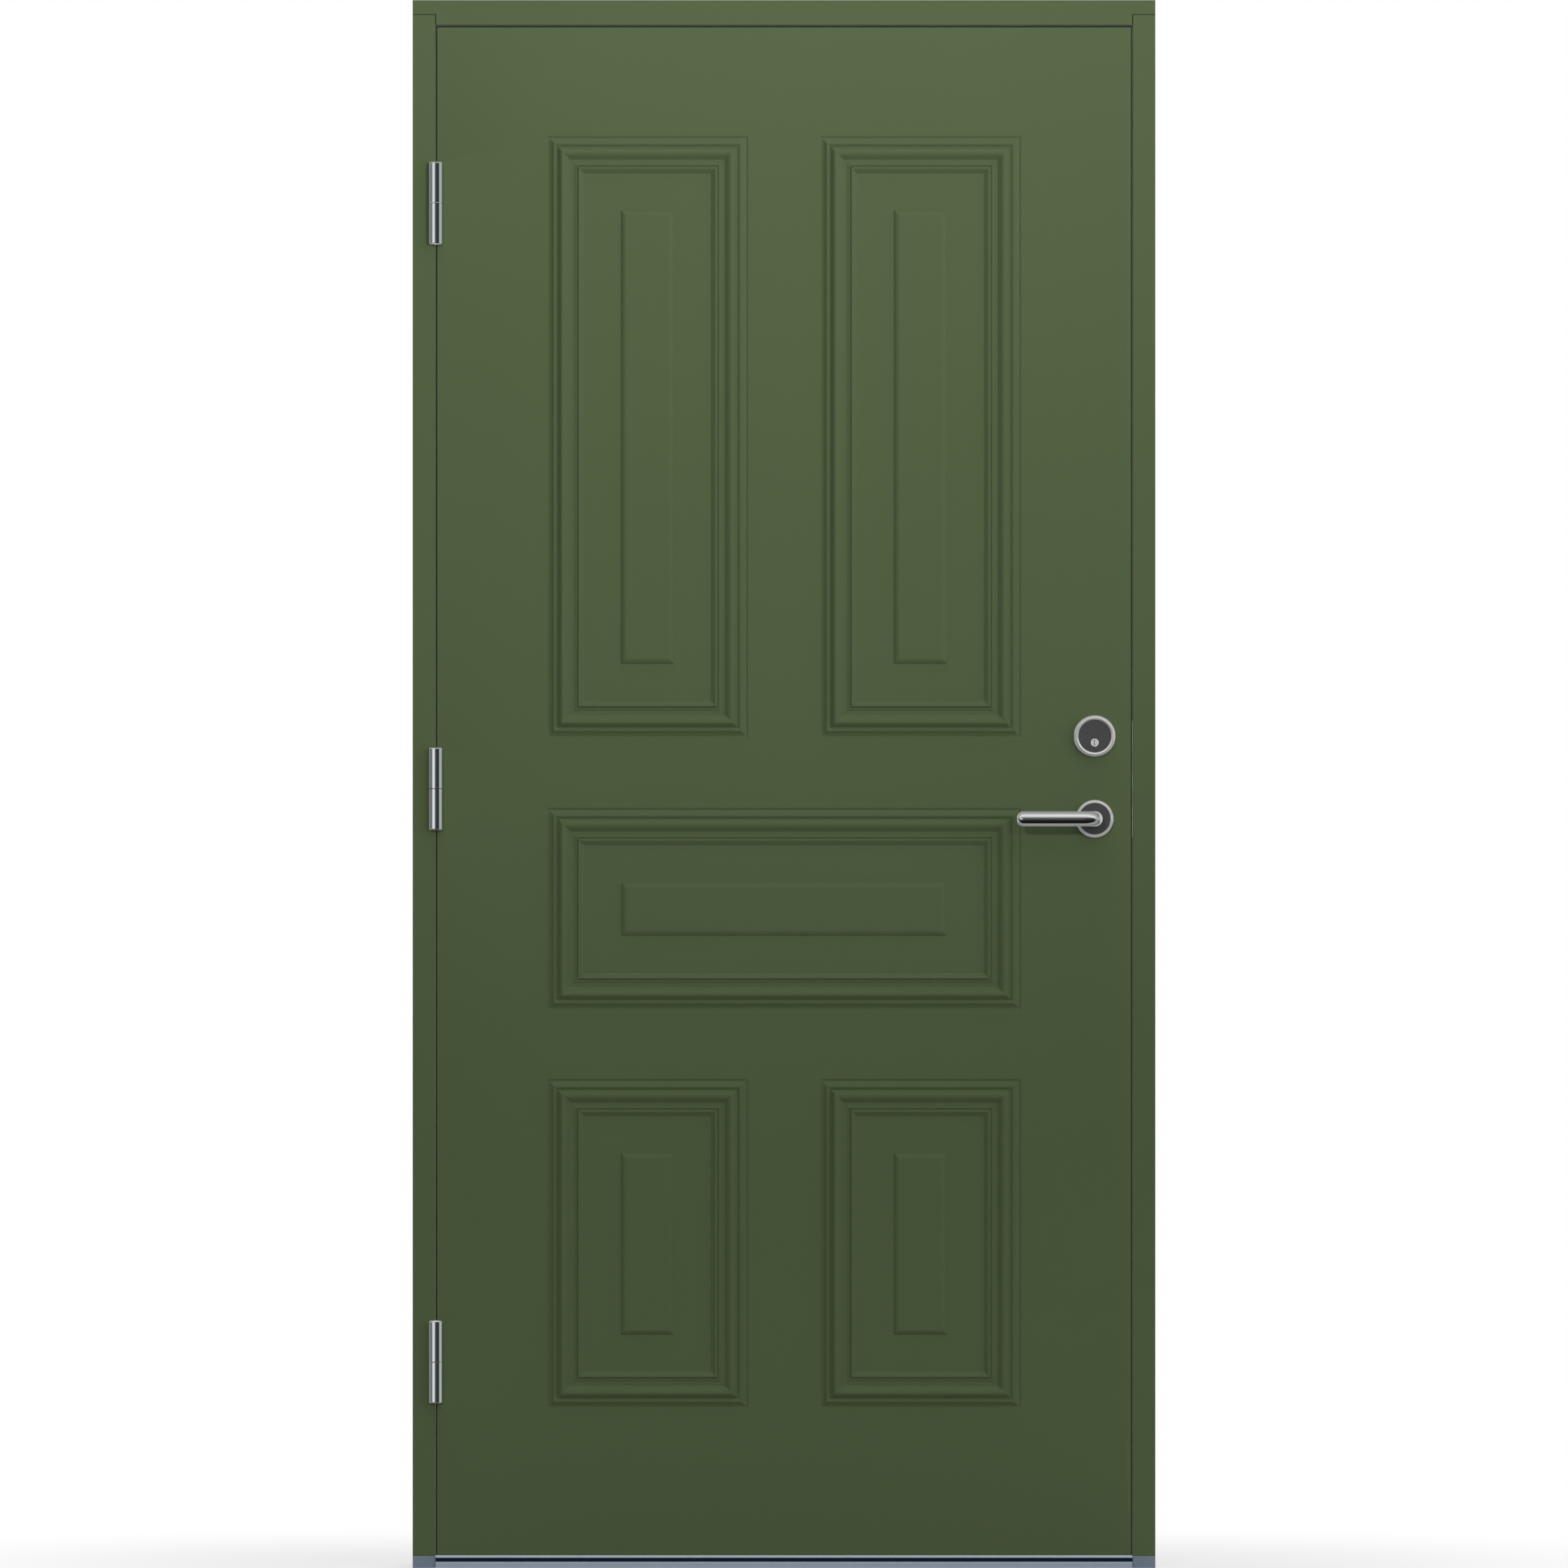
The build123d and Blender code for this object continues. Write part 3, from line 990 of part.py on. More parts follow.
save("lock_cover", lock_cover)
save("case_screws", *case_screws)
save("faceplate", faceplate)
save("faceplate_screws", *faceplate_screws)

# Strike plate: let into the lock jamb, with windows for the latch and the dead bolt and pockets behind them.
STRIKE_T = 2.5
STRIKE_W = 27.0
STRIKE_PAST = 55.0
STRIKE_SCREW = (2.0, 4.0, JAMB_FACE - SCREW_SHORT)
strike_z0 = LATCH_Z - STRIKE_PAST
strike_z1 = BOLT_Z + STRIKE_PAST
strike_plate = block(
    X_CHEEK, X_CHEEK + STRIKE_T, Y_MID - STRIKE_W / 2, Y_MID + STRIKE_W / 2, strike_z0, strike_z1
)
strike_plate = fillet(strike_plate.edges().filter_by(Axis.X), 6.0)
lock_jamb -= strike_plate
WIN_PLAY = 1.0
latch_hole = block(
    X_CHEEK - 1,
    X_CHEEK + LATCH_OUT + 3.0,
    Y_MID - LATCH_T / 2 - WIN_PLAY,
    Y_MID + LATCH_T / 2 + WIN_PLAY,
    LATCH_Z - LATCH_H / 2 - 2.5,
    LATCH_Z + LATCH_H / 2 + 2.5,
)
bolt_hole = block(
    X_CHEEK - 1,
    X_CHEEK + BOLT_OUT + 2.0,
    Y_MID - BOLT_T / 2 - WIN_PLAY,
    Y_MID + BOLT_T / 2 + WIN_PLAY,
    BOLT_Z - BOLT_H / 2 - 2.5,
    BOLT_Z + BOLT_H / 2 + 2.5,
)
strike_plate -= latch_hole + bolt_hole
lock_jamb -= latch_hole + bolt_hole
strike_screws = []
for z in (strike_z0 + 12.0, strike_z0 + 27.0, strike_z1 - 27.0, strike_z1 - 12.0):
    cut = screw((X_CHEEK, Y_MID, z), (1, 0, 0), *STRIKE_SCREW, recess=False)
    strike_plate -= cut
    lock_jamb -= cut
    strike_screws.append(screw((X_CHEEK, Y_MID, z), (1, 0, 0), *STRIKE_SCREW))
save("strike_plate", strike_plate)
save("strike_screws", *strike_screws)

# Whole members, once every hole and housing has been cut in them
save("hinge_jamb", hinge_jamb)
save("lock_jamb", lock_jamb)
save("frame_head", frame_head)
save("threshold_core", threshold_core)
save("threshold_cover", threshold_cover)
save("drip_strip", drip_strip)
save("edge_seal", edge_seal)
save("threshold_end_blocks", *end_blocks)
save("seal_hinge_side", seal_hinge_side)
save("seal_lock_side", seal_lock_side)
save("seal_head", seal_head)
save("seal_threshold", seal_threshold)
save("outer_skin", outer_skin)
save("inner_skin", inner_skin)
save("insulation_core", insulation_core)
save("hinge_stile", hinge_stile)
save("lock_stile", lock_stile)
save("top_rail", top_rail)
save("bottom_rail", bottom_rail)
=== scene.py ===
# A panelled front door in its frame, painted green, seen straight on from outside.
# Metres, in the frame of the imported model: X across the door, Y from outside to inside, Z up.
import math

import bmesh
import bpy
from mathutils import Matrix, Vector


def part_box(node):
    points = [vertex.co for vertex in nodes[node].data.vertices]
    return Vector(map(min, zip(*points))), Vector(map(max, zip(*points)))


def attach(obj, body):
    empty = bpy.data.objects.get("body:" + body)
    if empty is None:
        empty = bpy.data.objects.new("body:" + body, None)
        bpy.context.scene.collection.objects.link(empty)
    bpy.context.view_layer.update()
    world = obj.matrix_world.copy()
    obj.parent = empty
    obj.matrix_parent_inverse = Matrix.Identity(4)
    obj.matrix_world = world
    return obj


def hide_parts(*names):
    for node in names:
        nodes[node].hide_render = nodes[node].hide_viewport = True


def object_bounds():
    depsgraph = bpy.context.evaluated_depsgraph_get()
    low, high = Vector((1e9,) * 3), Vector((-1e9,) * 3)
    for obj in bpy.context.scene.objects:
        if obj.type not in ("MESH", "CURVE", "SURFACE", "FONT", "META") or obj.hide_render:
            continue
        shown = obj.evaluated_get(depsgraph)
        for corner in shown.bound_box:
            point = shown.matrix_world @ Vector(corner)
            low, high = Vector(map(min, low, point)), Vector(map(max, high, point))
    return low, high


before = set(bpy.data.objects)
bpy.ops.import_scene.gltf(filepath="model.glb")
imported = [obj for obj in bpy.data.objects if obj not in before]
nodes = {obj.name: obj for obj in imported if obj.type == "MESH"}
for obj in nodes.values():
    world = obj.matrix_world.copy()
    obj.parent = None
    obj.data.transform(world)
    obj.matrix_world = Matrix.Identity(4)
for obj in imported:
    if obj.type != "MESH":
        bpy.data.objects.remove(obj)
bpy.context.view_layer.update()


# View: the photograph is a straight elevation that the frame fills from top to bottom.
# A long lens far in front keeps the verticals parallel.
def put(name, data):
    """An object of this name, linked into the scene."""
    made = bpy.data.objects.new(name, data)
    bpy.context.scene.collection.objects.link(made)
    return made


frame_low, frame_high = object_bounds()
face_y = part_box("frame_head")[0].y
tall = frame_high.z - frame_low.z
lens = bpy.data.cameras.new("elevation")
lens.sensor_width = 36
lens.lens = 300
camera = put("elevation", lens)
camera.location = (0, face_y - tall * lens.lens / lens.sensor_width, tall / 2)
camera.rotation_euler = (math.pi / 2, 0, 0)
bpy.context.scene.camera = camera


# Threshold: an extruded and anodised aluminium cover over a hardwood core. Its drawing lines run along the
# extrusion. It sits between two moulded end blocks that carry the jambs.
class Wire:
    """A shader socket. Python's operators on it add Math nodes, and node() adds any other kind."""

    def __init__(self, tree, socket=None):
        self.tree = tree
        self.socket = socket

    def node(self, kind, settings, values, out=0):
        """A node of one kind, with its settings made first and then the values or links of its sockets."""
        made = self.tree.nodes.new(kind)
        for name, value in settings.items():
            if name == "stops":
                ramp = made.color_ramp
                while len(ramp.elements) < len(value):
                    ramp.elements.new(0.5)
                for stop, (place, colour) in zip(ramp.elements, value):
                    stop.position = place
                    stop.color = (*colour, 1)
            else:
                setattr(made, name, value)
        for name, value in values.items():
            if isinstance(value, Wire):
                self.tree.links.new(value.socket, made.inputs[name])
            else:
                made.inputs[name].default_value = value
        return Wire(self.tree, made.outputs[out] if len(made.outputs) else None)

    def output(self, name):
        """Another output of the node that this socket is on."""
        return Wire(self.tree, self.socket.node.outputs[name])

    def maths(self, operation, first, second=0.0):
        """A Math node on two values, which are numbers or wires."""
        return self.node("ShaderNodeMath", {"operation": operation}, {0: first, 1: second})

    def __add__(self, other):
        return self.maths("ADD", self, other)

    def __radd__(self, other):
        return self.maths("ADD", other, self)

    def __sub__(self, other):
        return self.maths("SUBTRACT", self, other)

    def __rsub__(self, other):
        return self.maths("SUBTRACT", other, self)

    def __mul__(self, other):
        return self.maths("MULTIPLY", self, other)

    def __rmul__(self, other):
        return self.maths("MULTIPLY", other, self)

    def __gt__(self, other):
        return self.maths("GREATER_THAN", self, other)

    def __abs__(self):
        return self.maths("ABSOLUTE", self)


def new_material(name):
    """An empty material, and the point of the surface that is shaded, from which its nodes grow."""
    material = bpy.data.materials.new(name)
    material.use_nodes = True
    material.node_tree.nodes.clear()
    return material, Wire(material.node_tree).node("ShaderNodeTexCoord", {}, {}, "Object")


def noise(place, scale, detail=2.0, stretch=(1, 1, 1)):
    """Even grey noise with cells about 1/scale metres across, pulled out along an axis by stretch."""
    placed = place.node("ShaderNodeMapping", {}, {"Vector": place, "Scale": stretch})
    return place.node("ShaderNodeTexNoise", {}, {"Vector": placed, "Scale": scale, "Detail": detail})


def tint(place, factor, low, high):
    """A colour between low and high."""
    values = {0: factor, 6: (*low, 1), 7: (*high, 1)}
    return place.node("ShaderNodeMix", {"data_type": "RGBA"}, values, 2)


def bump(place, height, depth):
    """A bump whose height runs from 0 to depth metres."""
    return place.node("ShaderNodeBump", {}, {"Height": height, "Strength": 1.0, "Distance": depth})


def surface(place, values):
    """The Principled shader and the output that end a material."""
    shader = place.node("ShaderNodeBsdfPrincipled", {}, values)
    place.node("ShaderNodeOutputMaterial", {}, {"Surface": shader})


def dress(material, *names):
    """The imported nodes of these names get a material."""
    for name in names:
        nodes[name].data.materials.clear()
        nodes[name].data.materials.append(material)


def fine_metal(name, low, high, roughness, lines, stretch, bare=1.0, depth=0.000004):
    """Metal with fine polishing lines along one axis. A value of bare below 1 is a coated finish."""
    material, place = new_material(name)
    drawn = noise(place, lines, 3.0, stretch)
    clouds = noise(place, 14.0)
    values = {
        "Base Color": tint(place, clouds, low, high),
        "Metallic": bare,
        "Roughness": roughness + drawn * 0.03 + clouds * 0.03,
        "Normal": bump(place, drawn, depth),
    }
    surface(place, values)
    return material


anodised = fine_metal(
    "anodised_aluminium",
    (0.47, 0.58, 0.7),
    (0.5, 0.62, 0.74),
    roughness=0.33,
    lines=900.0,
    stretch=(0.02, 1, 1),
    bare=0.4,
    depth=0.00001,
)
dress(anodised, "threshold_cover")

block_grey, place = new_material("moulded_grey_plastic")
grain = noise(place, 2200.0)
surface(
    place,
    {
        "Base Color": tint(place, noise(place, 20.0), (0.17, 0.22, 0.285), (0.195, 0.25, 0.315)),
        "Roughness": 0.5 + grain * 0.12,
        "Normal": bump(place, grain, 0.00002),
    },
)
dress(block_grey, "threshold_end_blocks")

core_wood, place = new_material("hardwood_core")
along_core = (0.04, 1, 1)
rings = noise(place, 160.0, 4.0, along_core)
pores = noise(place, 1500.0, 2.0, along_core)
surface(
    place,
    {
        "Base Color": tint(place, rings * 0.8 + pores * 0.2, (0.2, 0.11, 0.05), (0.36, 0.22, 0.11)),
        "Roughness": 0.62 + pores * 0.15,
        "Normal": bump(place, pores, 0.00006),
    },
)
dress(core_wood, "threshold_core")

# Frame: two rebated softwood jambs and a head, sprayed with a satin green exterior paint. The paint has the
# faint orange peel of a sprayed coat.
paint, place = new_material("satin_green_paint")
peel = noise(place, 700.0, 2.0)
fine = noise(place, 3000.0, 1.0)
clouds = noise(place, 3.0, 2.0)
surface(
    place,
    {
        "Base Color": tint(place, clouds, (0.089, 0.1245, 0.057), (0.094, 0.1305, 0.06)),
        "Roughness": 0.46 + peel * 0.08 + clouds * 0.04,
        "Specular IOR Level": 0.08,
        "Normal": bump(place, peel * 0.8 + fine * 0.2, 0.00003),
    },
)
dress(paint, "hinge_jamb", "lock_jamb", "frame_head")


# Seals: black extruded rubber strips with a soft lip. They are pushed into grooves round the stop and along
# the threshold, and the shut leaf lies on them.
def extruded_rubber(name, low, high, roughness, specular):
    """Rubber with a little dust on it."""
    material, place = new_material(name)
    dust = noise(place, 300.0, 3.0)
    values = {
        "Base Color": tint(place, dust, low, high),
        "Roughness": roughness + dust * 0.15,
        "Specular IOR Level": specular,
        "Normal": bump(place, noise(place, 2600.0), 0.00001),
    }
    surface(place, values)
    return material


rubber = extruded_rubber(
    "black_rubber", (0.012, 0.012, 0.013), (0.028, 0.028, 0.029), roughness=0.62, specular=0.5
)
dress(rubber, "seal_hinge_side", "seal_lock_side", "seal_head", "seal_threshold")

# Weather strips: a navy strip in the threshold's drip recess, whose dark colour is painted shade for the
# recess, and a dark grey one glued round the edge of the leaf just behind its face, which fills the gap to
# the frame and whose colour is painted shade for the gap line.
# The drip strip's navy is painted shade: it darkens the recess under the nose as the shadow there would.
navy = extruded_rubber(
    "drip_recess_shade", (0.012, 0.019, 0.043), (0.018, 0.026, 0.056), roughness=0.6, specular=0.1
)
dress(navy, "drip_strip")
# The edge seal's dark grey is painted shade: it sets the tone of the shaded gap between the leaf and the
# frame.
grey = extruded_rubber(
    "edge_seal_gap_shade", (0.022, 0.028, 0.028), (0.032, 0.038, 0.038), roughness=0.6, specular=0.1
)
dress(grey, "edge_seal")


# Leaf core: stiles and rails of laminated pine round rigid foam. The edges that show when the door is open
# are painted like the faces.
def grained(name, low, high, grain_scale, roughness, spread, depth, specular=0.5):
    """A dull finish whose one even grain shades, roughens and raises it a little."""
    material, place = new_material(name)
    grain = noise(place, grain_scale)
    values = {
        "Base Color": tint(place, grain, low, high),
        "Roughness": roughness + grain * spread,
        "Specular IOR Level": specular,
        "Normal": bump(place, grain, depth),
    }
    surface(place, values)
    return material


foam = grained(
    "rigid_foam",
    (0.7, 0.68, 0.6),
    (0.82, 0.8, 0.72),
    grain_scale=900.0,
    roughness=0.85,
    spread=0.1,
    depth=0.0002,
)
dress(paint, "hinge_stile", "lock_stile", "top_rail", "bottom_rail")
dress(foam, "insulation_core")

# Skins: two painted moulded skins, glued to the core. Five panels are pressed in each, with a moulding of a
# cove, a main crest and an inner slope, mitred at the corners, round a raised field.
skin_low, skin_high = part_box("outer_skin")
core_low, core_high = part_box("hinge_stile")
outer_t = core_low.y - face_y
inner_t = 0.005
middle_y = (face_y + core_high.y + inner_t) / 2
arris = 0.001
hinge_plate_t = 0.0025
close = 1e-6
outline = [(skin_high.x, skin_low.z), (skin_low.x, skin_low.z)]
outline += [(skin_low.x, skin_high.z), (skin_high.x, skin_high.z)]

# The outer skin is cut out round the three hinge plates in the leaf's edge.
notched = outline[:2]
for hinge in ("lower", "middle", "upper"):
    plate_low, plate_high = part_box(hinge + "_hinge_leaf_half")
    notch = [(0, plate_low.z), (hinge_plate_t, plate_low.z), (hinge_plate_t, plate_high.z), (0, plate_high.z)]
    notched += [(skin_low.x + deep, z) for deep, z in notch]
notched += outline[2:]


def skin_blank(name, corners, thick, edge):
    """A flat skin cut to an outline, with its outer edges eased. It lies with its face to the front."""
    cut = bmesh.new()
    flat = cut.faces.new([cut.verts.new((x, face_y + thick, z)) for x, z in corners])
    pushed = bmesh.ops.extrude_face_region(cut, geom=[flat], use_keep_orig=True)
    front = [v for v in pushed["geom"] if isinstance(v, bmesh.types.BMVert)]
    bmesh.ops.translate(cut, verts=front, vec=(0, -thick, 0))
    bmesh.ops.recalc_face_normals(cut, faces=cut.faces)
    if edge:
        rim = [
            e
            for e in cut.edges
            if all(abs(v.co.y - face_y) < close for v in e.verts)
            and any(
                all(abs(v.co[axis] - limit[axis]) < close for v in e.verts)
                for axis in (0, 2)
                for limit in (skin_low, skin_high)
            )
        ]
        bmesh.ops.bevel(
            cut,
            geom=rim,
            offset=edge,
            offset_type="OFFSET",
            segments=4,
            profile=0.5,
            affect="EDGES",
            material=-1,
        )
    mesh = bpy.data.meshes.new(name)
    cut.to_mesh(mesh)
    cut.free()
    return put(name, mesh)


def bore(piece, centre_x, centre_z, radius):
    """A round hole cut through a skin along Y."""
    drill = bmesh.new()
    bmesh.ops.create_cone(drill, cap_ends=True, segments=96, radius1=radius, radius2=radius, depth=0.1)
    bmesh.ops.rotate(drill, verts=drill.verts, matrix=Matrix.Rotation(math.pi / 2, 3, "X"))
    bmesh.ops.translate(drill, verts=drill.verts, vec=(centre_x, face_y, centre_z))
    drill_mesh = bpy.data.meshes.new("drill")
    drill.to_mesh(drill_mesh)
    drill.free()
    tool = put("drill", drill_mesh)
    cut = piece.modifiers.new("bore", "BOOLEAN")
    cut.object = tool
    cut.operation = "DIFFERENCE"
    cut.solver = "EXACT"
    bpy.context.view_layer.update()
    done = bpy.data.meshes.new_from_object(piece.evaluated_get(bpy.context.evaluated_depsgraph_get()))
    piece.modifiers.clear()
    piece.data = done
    bpy.data.objects.remove(tool)


# Holes for the lever's spindle, the cylinder and its tailpiece, in line with the fittings over them.
rose_low, rose_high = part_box("outer_rose")
ring_low, ring_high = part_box("cylinder_ring")
plug_low, plug_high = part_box("key_plug")
lever_x = (rose_low.x + rose_high.x) / 2
lever_z = (rose_low.z + rose_high.z) / 2
ring_z = (ring_low.z + ring_high.z) / 2
plug_z = (plug_low.z + plug_high.z) / 2
spindle_hole_r = 0.010
cylinder_hole_r = 0.0215
tailpiece_hole_r = 0.008

# The panels' places, from the edges of the leaf: the plain margins round them, the plain bands between them
# and the heights of the lower and the middle ones.
side_margin = 0.1461
upright_band = 0.0949
foot_margin = 0.195
low_panel = 0.4401
low_band = 0.0911
mid_panel = 0.2701
high_band = 0.0928
head_margin = 0.1447
panel_x = skin_high.x - side_margin
between = upright_band / 2
low_0 = skin_low.z + foot_margin
low_1 = low_0 + low_panel
mid_0 = low_1 + low_band
mid_1 = mid_0 + mid_panel
high_0 = mid_1 + high_band
high_1 = skin_high.z - head_margin
panels = [(-panel_x, panel_x, mid_0, mid_1)]
for z0, z1 in ((low_0, low_1), (high_0, high_1)):
    panels += [(-panel_x, -between, z0, z1), (between, panel_x, z0, z1)]


def arc(start, middle, end, steps):
    """Points after start on the circle through three points."""
    (ax, ay), (bx, by), (cx, cy) = start, middle, end
    d = 2 * (ax * (by - cy) + bx * (cy - ay) + cx * (ay - by))
    ux = ((ax**2 + ay**2) * (by - cy) + (bx**2 + by**2) * (cy - ay) + (cx**2 + cy**2) * (ay - by)) / d
    uy = ((ax**2 + ay**2) * (cx - bx) + (bx**2 + by**2) * (ax - cx) + (cx**2 + cy**2) * (bx - ax)) / d
    radius = math.hypot(ax - ux, ay - uy)
    first = math.atan2(ay - uy, ax - ux)
    turn = math.atan2(cy - uy, cx - ux) - first
    turn = (turn + math.pi) % (2 * math.pi) - math.pi
    angles = [first + turn * (i + 1) / steps for i in range(steps)]
    return [(ux + radius * math.cos(a), uy + radius * math.sin(a)) for a in angles]


# The moulding's section in millimetres, as (in from the panel's outer line, out from the face): an edge
# groove, the cove, a fine groove, the main crest, and the inner slope with two fine beads.
profile = [(0, 0), (0.7, -0.2), (2.3, -1.3), (3.2, -1.3)]
profile += arc((3.2, -1.3), (6.4, 0.6), (8.8, 3.2), 5)
profile += arc((8.8, 3.2), (10.0, 4.0), (11.4, 3.8), 5)
profile += [(14.4, 1.7), (18.5, 6.5)]
profile += arc((18.5, 6.5), (20.0, 7.75), (21.5, 8.1), 6)
profile += arc((21.5, 8.1), (24.15, 7.64), (26.8, 6.05), 8)
profile += [(31.6, 1.7), (36.3, 1.8), (39.0, 3.2), (40.7, 1.8), (42.0, 3.8), (43.0, 4.5), (44.2, 4.4)]
profile += [(50.0, 0.0), (52.0, 0.0)]

# The field stands up from the flat ground inside with a rounded edge.
field_edge = [(0, 0)] + arc((0, 0), (2.8, 2.6), (6.8, 4.3), 10)
field_w = 0.071


def insets(points):
    """The inset and the rise in metres from each point of a section to the next."""
    return [((b[0] - a[0]) / 1000, (b[1] - a[1]) / 1000) for a, b in zip(points, points[1:])]


def press_panels(piece):
    """The five panels, inset step by step along the profile from one flat face each."""
    skin = bmesh.new()
    skin.from_mesh(piece.data)
    cuts = [((x, 0, 0), (1, 0, 0)) for x in (-panel_x, -between, between, panel_x)]
    cuts += [((0, 0, z), (0, 0, 1)) for z in (low_0, low_1, mid_0, mid_1, high_0, high_1)]
    for through, across in cuts:
        geom = skin.verts[:] + skin.edges[:] + skin.faces[:]
        bmesh.ops.bisect_plane(skin, geom=geom, plane_co=through, plane_no=across)
    for x0, x1, z0, z1 in panels:
        ground = []
        for f in skin.faces:
            c = f.calc_center_median()
            if f.normal.y < -0.99 and x0 < c.x < x1 and z0 < c.z < z1:
                ground.append(f)
        if len(ground) > 1:
            ground = bmesh.ops.dissolve_faces(skin, faces=ground, use_verts=True)["region"]
        to_field = (min(x1 - x0, z1 - z0) - field_w) / 2
        flat = (to_field - profile[-1][0] / 1000, 0)
        for width, rise in (*insets(profile), flat, *insets(field_edge)):
            bmesh.ops.inset_region(
                skin, faces=ground, use_boundary=True, use_even_offset=True, thickness=width, depth=rise
            )
    return skin


crease_deg = 12


def paint_skin(skin, piece):
    """Gives a piece its pressed shape and its paint. It is smooth but for the mitres and the sharp bends."""
    for f in skin.faces:
        f.smooth = True
    for e in skin.edges:
        if len(e.link_faces) != 2:
            continue
        run = e.verts[1].co - e.verts[0].co
        mitre = abs(run.x) > 1e-5 and abs(run.z) > 1e-5
        e.smooth = e.calc_face_angle() < math.radians(crease_deg) and not mitre
    skin.to_mesh(piece.data)
    skin.free()
    piece.data.materials.append(paint)


outer_skin = skin_blank("outer_skin_moulded", notched, outer_t, arris)
bore(outer_skin, lever_x, lever_z, spindle_hole_r)
bore(outer_skin, lever_x, ring_z, cylinder_hole_r)
paint_skin(press_panels(outer_skin), outer_skin)
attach(outer_skin, "leaf")
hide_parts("outer_skin")

# The inner skin is pressed in the same tool and turned to face inwards. Its lock edge slopes with the leading
# bevel of the leaf.
lead_slope = 0.1
lead_depth = 2 * inner_t
inner_skin = skin_blank("inner_skin_moulded", outline, inner_t, 0)
bore(inner_skin, lever_x, lever_z, spindle_hole_r)
bore(inner_skin, lever_x, plug_z, tailpiece_hole_r)
skin = press_panels(inner_skin)
for v in skin.verts:
    if v.co.x > skin_high.x - close:
        v.co.x -= lead_slope * (lead_depth - (v.co.y - face_y))
bmesh.ops.translate(skin, verts=skin.verts, vec=(0, -middle_y, 0))
bmesh.ops.scale(skin, verts=skin.verts, vec=(1, -1, 1))
bmesh.ops.translate(skin, verts=skin.verts, vec=(0, middle_y, 0))
bmesh.ops.recalc_face_normals(skin, faces=skin.faces)
paint_skin(skin, inner_skin)
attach(inner_skin, "leaf")
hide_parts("inner_skin")

# Hinges: polished steel lift-off hinges with a knuckle on the leaf over one on the jamb, and a dark nylon
# washer between the two. A plated pin joins them, and plated screws hold their flaps.
polished = fine_metal(
    "polished_steel",
    (0.8, 0.82, 0.83),
    (0.86, 0.88, 0.89),
    roughness=0.08,
    lines=1500.0,
    stretch=(1, 1, 0.05),
)
for hinge in ("lower", "middle", "upper"):
    dress(polished, hinge + "_hinge_leaf_half", hinge + "_hinge_frame_half")
zinc = fine_metal(
    "zinc_steel",
    (0.5, 0.51, 0.53),
    (0.6, 0.61, 0.62),
    roughness=0.3,
    lines=1200.0,
    stretch=(1, 1, 1),
    depth=0.00001,
)
dress(zinc, "hinge_pins", "frame_hinge_screws", "leaf_hinge_screws")
nylon = grained(
    "dark_nylon",
    (0.02, 0.022, 0.024),
    (0.03, 0.033, 0.036),
    grain_scale=2400.0,
    roughness=0.5,
    spread=0.1,
    depth=0.00001,
)
dress(nylon, "hinge_washers")

# Lock: a zinc-plated steel case with its working parts, and the like screws that hold the frame and the
# fittings. The faceplate in the leaf's edge and the strike plate in the jamb are brushed steel.
dress(zinc, "lock_case", "lock_cover", "follower", "lock_cam", "tailpiece", "latch_bolt", "dead_bolt")
dress(zinc, "spindle", "lever_grub_screws", "rose_screws", "cylinder_screws", "case_screws")
dress(zinc, "faceplate_screws", "strike_screws", "foot_screws", "head_screws", "threshold_screws")
satin = fine_metal(
    "satin_steel",
    (0.6, 0.61, 0.6),
    (0.68, 0.69, 0.68),
    roughness=0.3,
    lines=1600.0,
    stretch=(1, 0.05, 1),
    bare=0.65,
    depth=0.00001,
)
dress(satin, "faceplate", "strike_plate")

# Levers: round steel bar bent to a right angle and polished. Each turns in its rose and is pinned to the
# spindle by a grub screw.
bright = fine_metal(
    "polished_lever",
    (0.82, 0.83, 0.82),
    (0.88, 0.89, 0.88),
    roughness=0.09,
    lines=1600.0,
    stretch=(0.05, 1, 1),
)
dress(bright, "outer_lever", "inner_lever")

# Roses, cylinder ring and thumbturn: pressed and turned steel with a satin chrome finish. The roses and the
# cylinder have a dark lacquered disc inside the rim.
chrome = fine_metal(
    "satin_chrome",
    (0.8, 0.8, 0.79),
    (0.86, 0.86, 0.85),
    roughness=0.2,
    lines=1800.0,
    stretch=(1, 1, 1),
    bare=0.5,
    depth=0.000006,
)
dress(chrome, "cylinder_ring", "thumbturn_rose", "thumbturn")


def ringed_metal(name, axis, limit, inner, outer):
    """Turned metal with one colour inside a radius round its axis and another outside: (colour, bare)."""
    material, place = new_material(name)
    flat = {"Vector": place, "Location": (-axis[0], 0, -axis[1]), "Scale": (1, 0, 1)}
    from_axis = place.node("ShaderNodeMapping", {}, flat)
    radius = from_axis.node("ShaderNodeVectorMath", {"operation": "LENGTH"}, {0: from_axis}, 1)
    outside = radius > limit
    turned = noise(place, 1800.0, 3.0)
    values = {
        "Base Color": tint(place, outside, inner[0], outer[0]),
        "Metallic": outside * (outer[1] - inner[1]) + inner[1],
        "Roughness": 0.17 + turned * 0.06,
        "Normal": bump(place, turned, 0.000006),
    }
    surface(place, values)
    return material
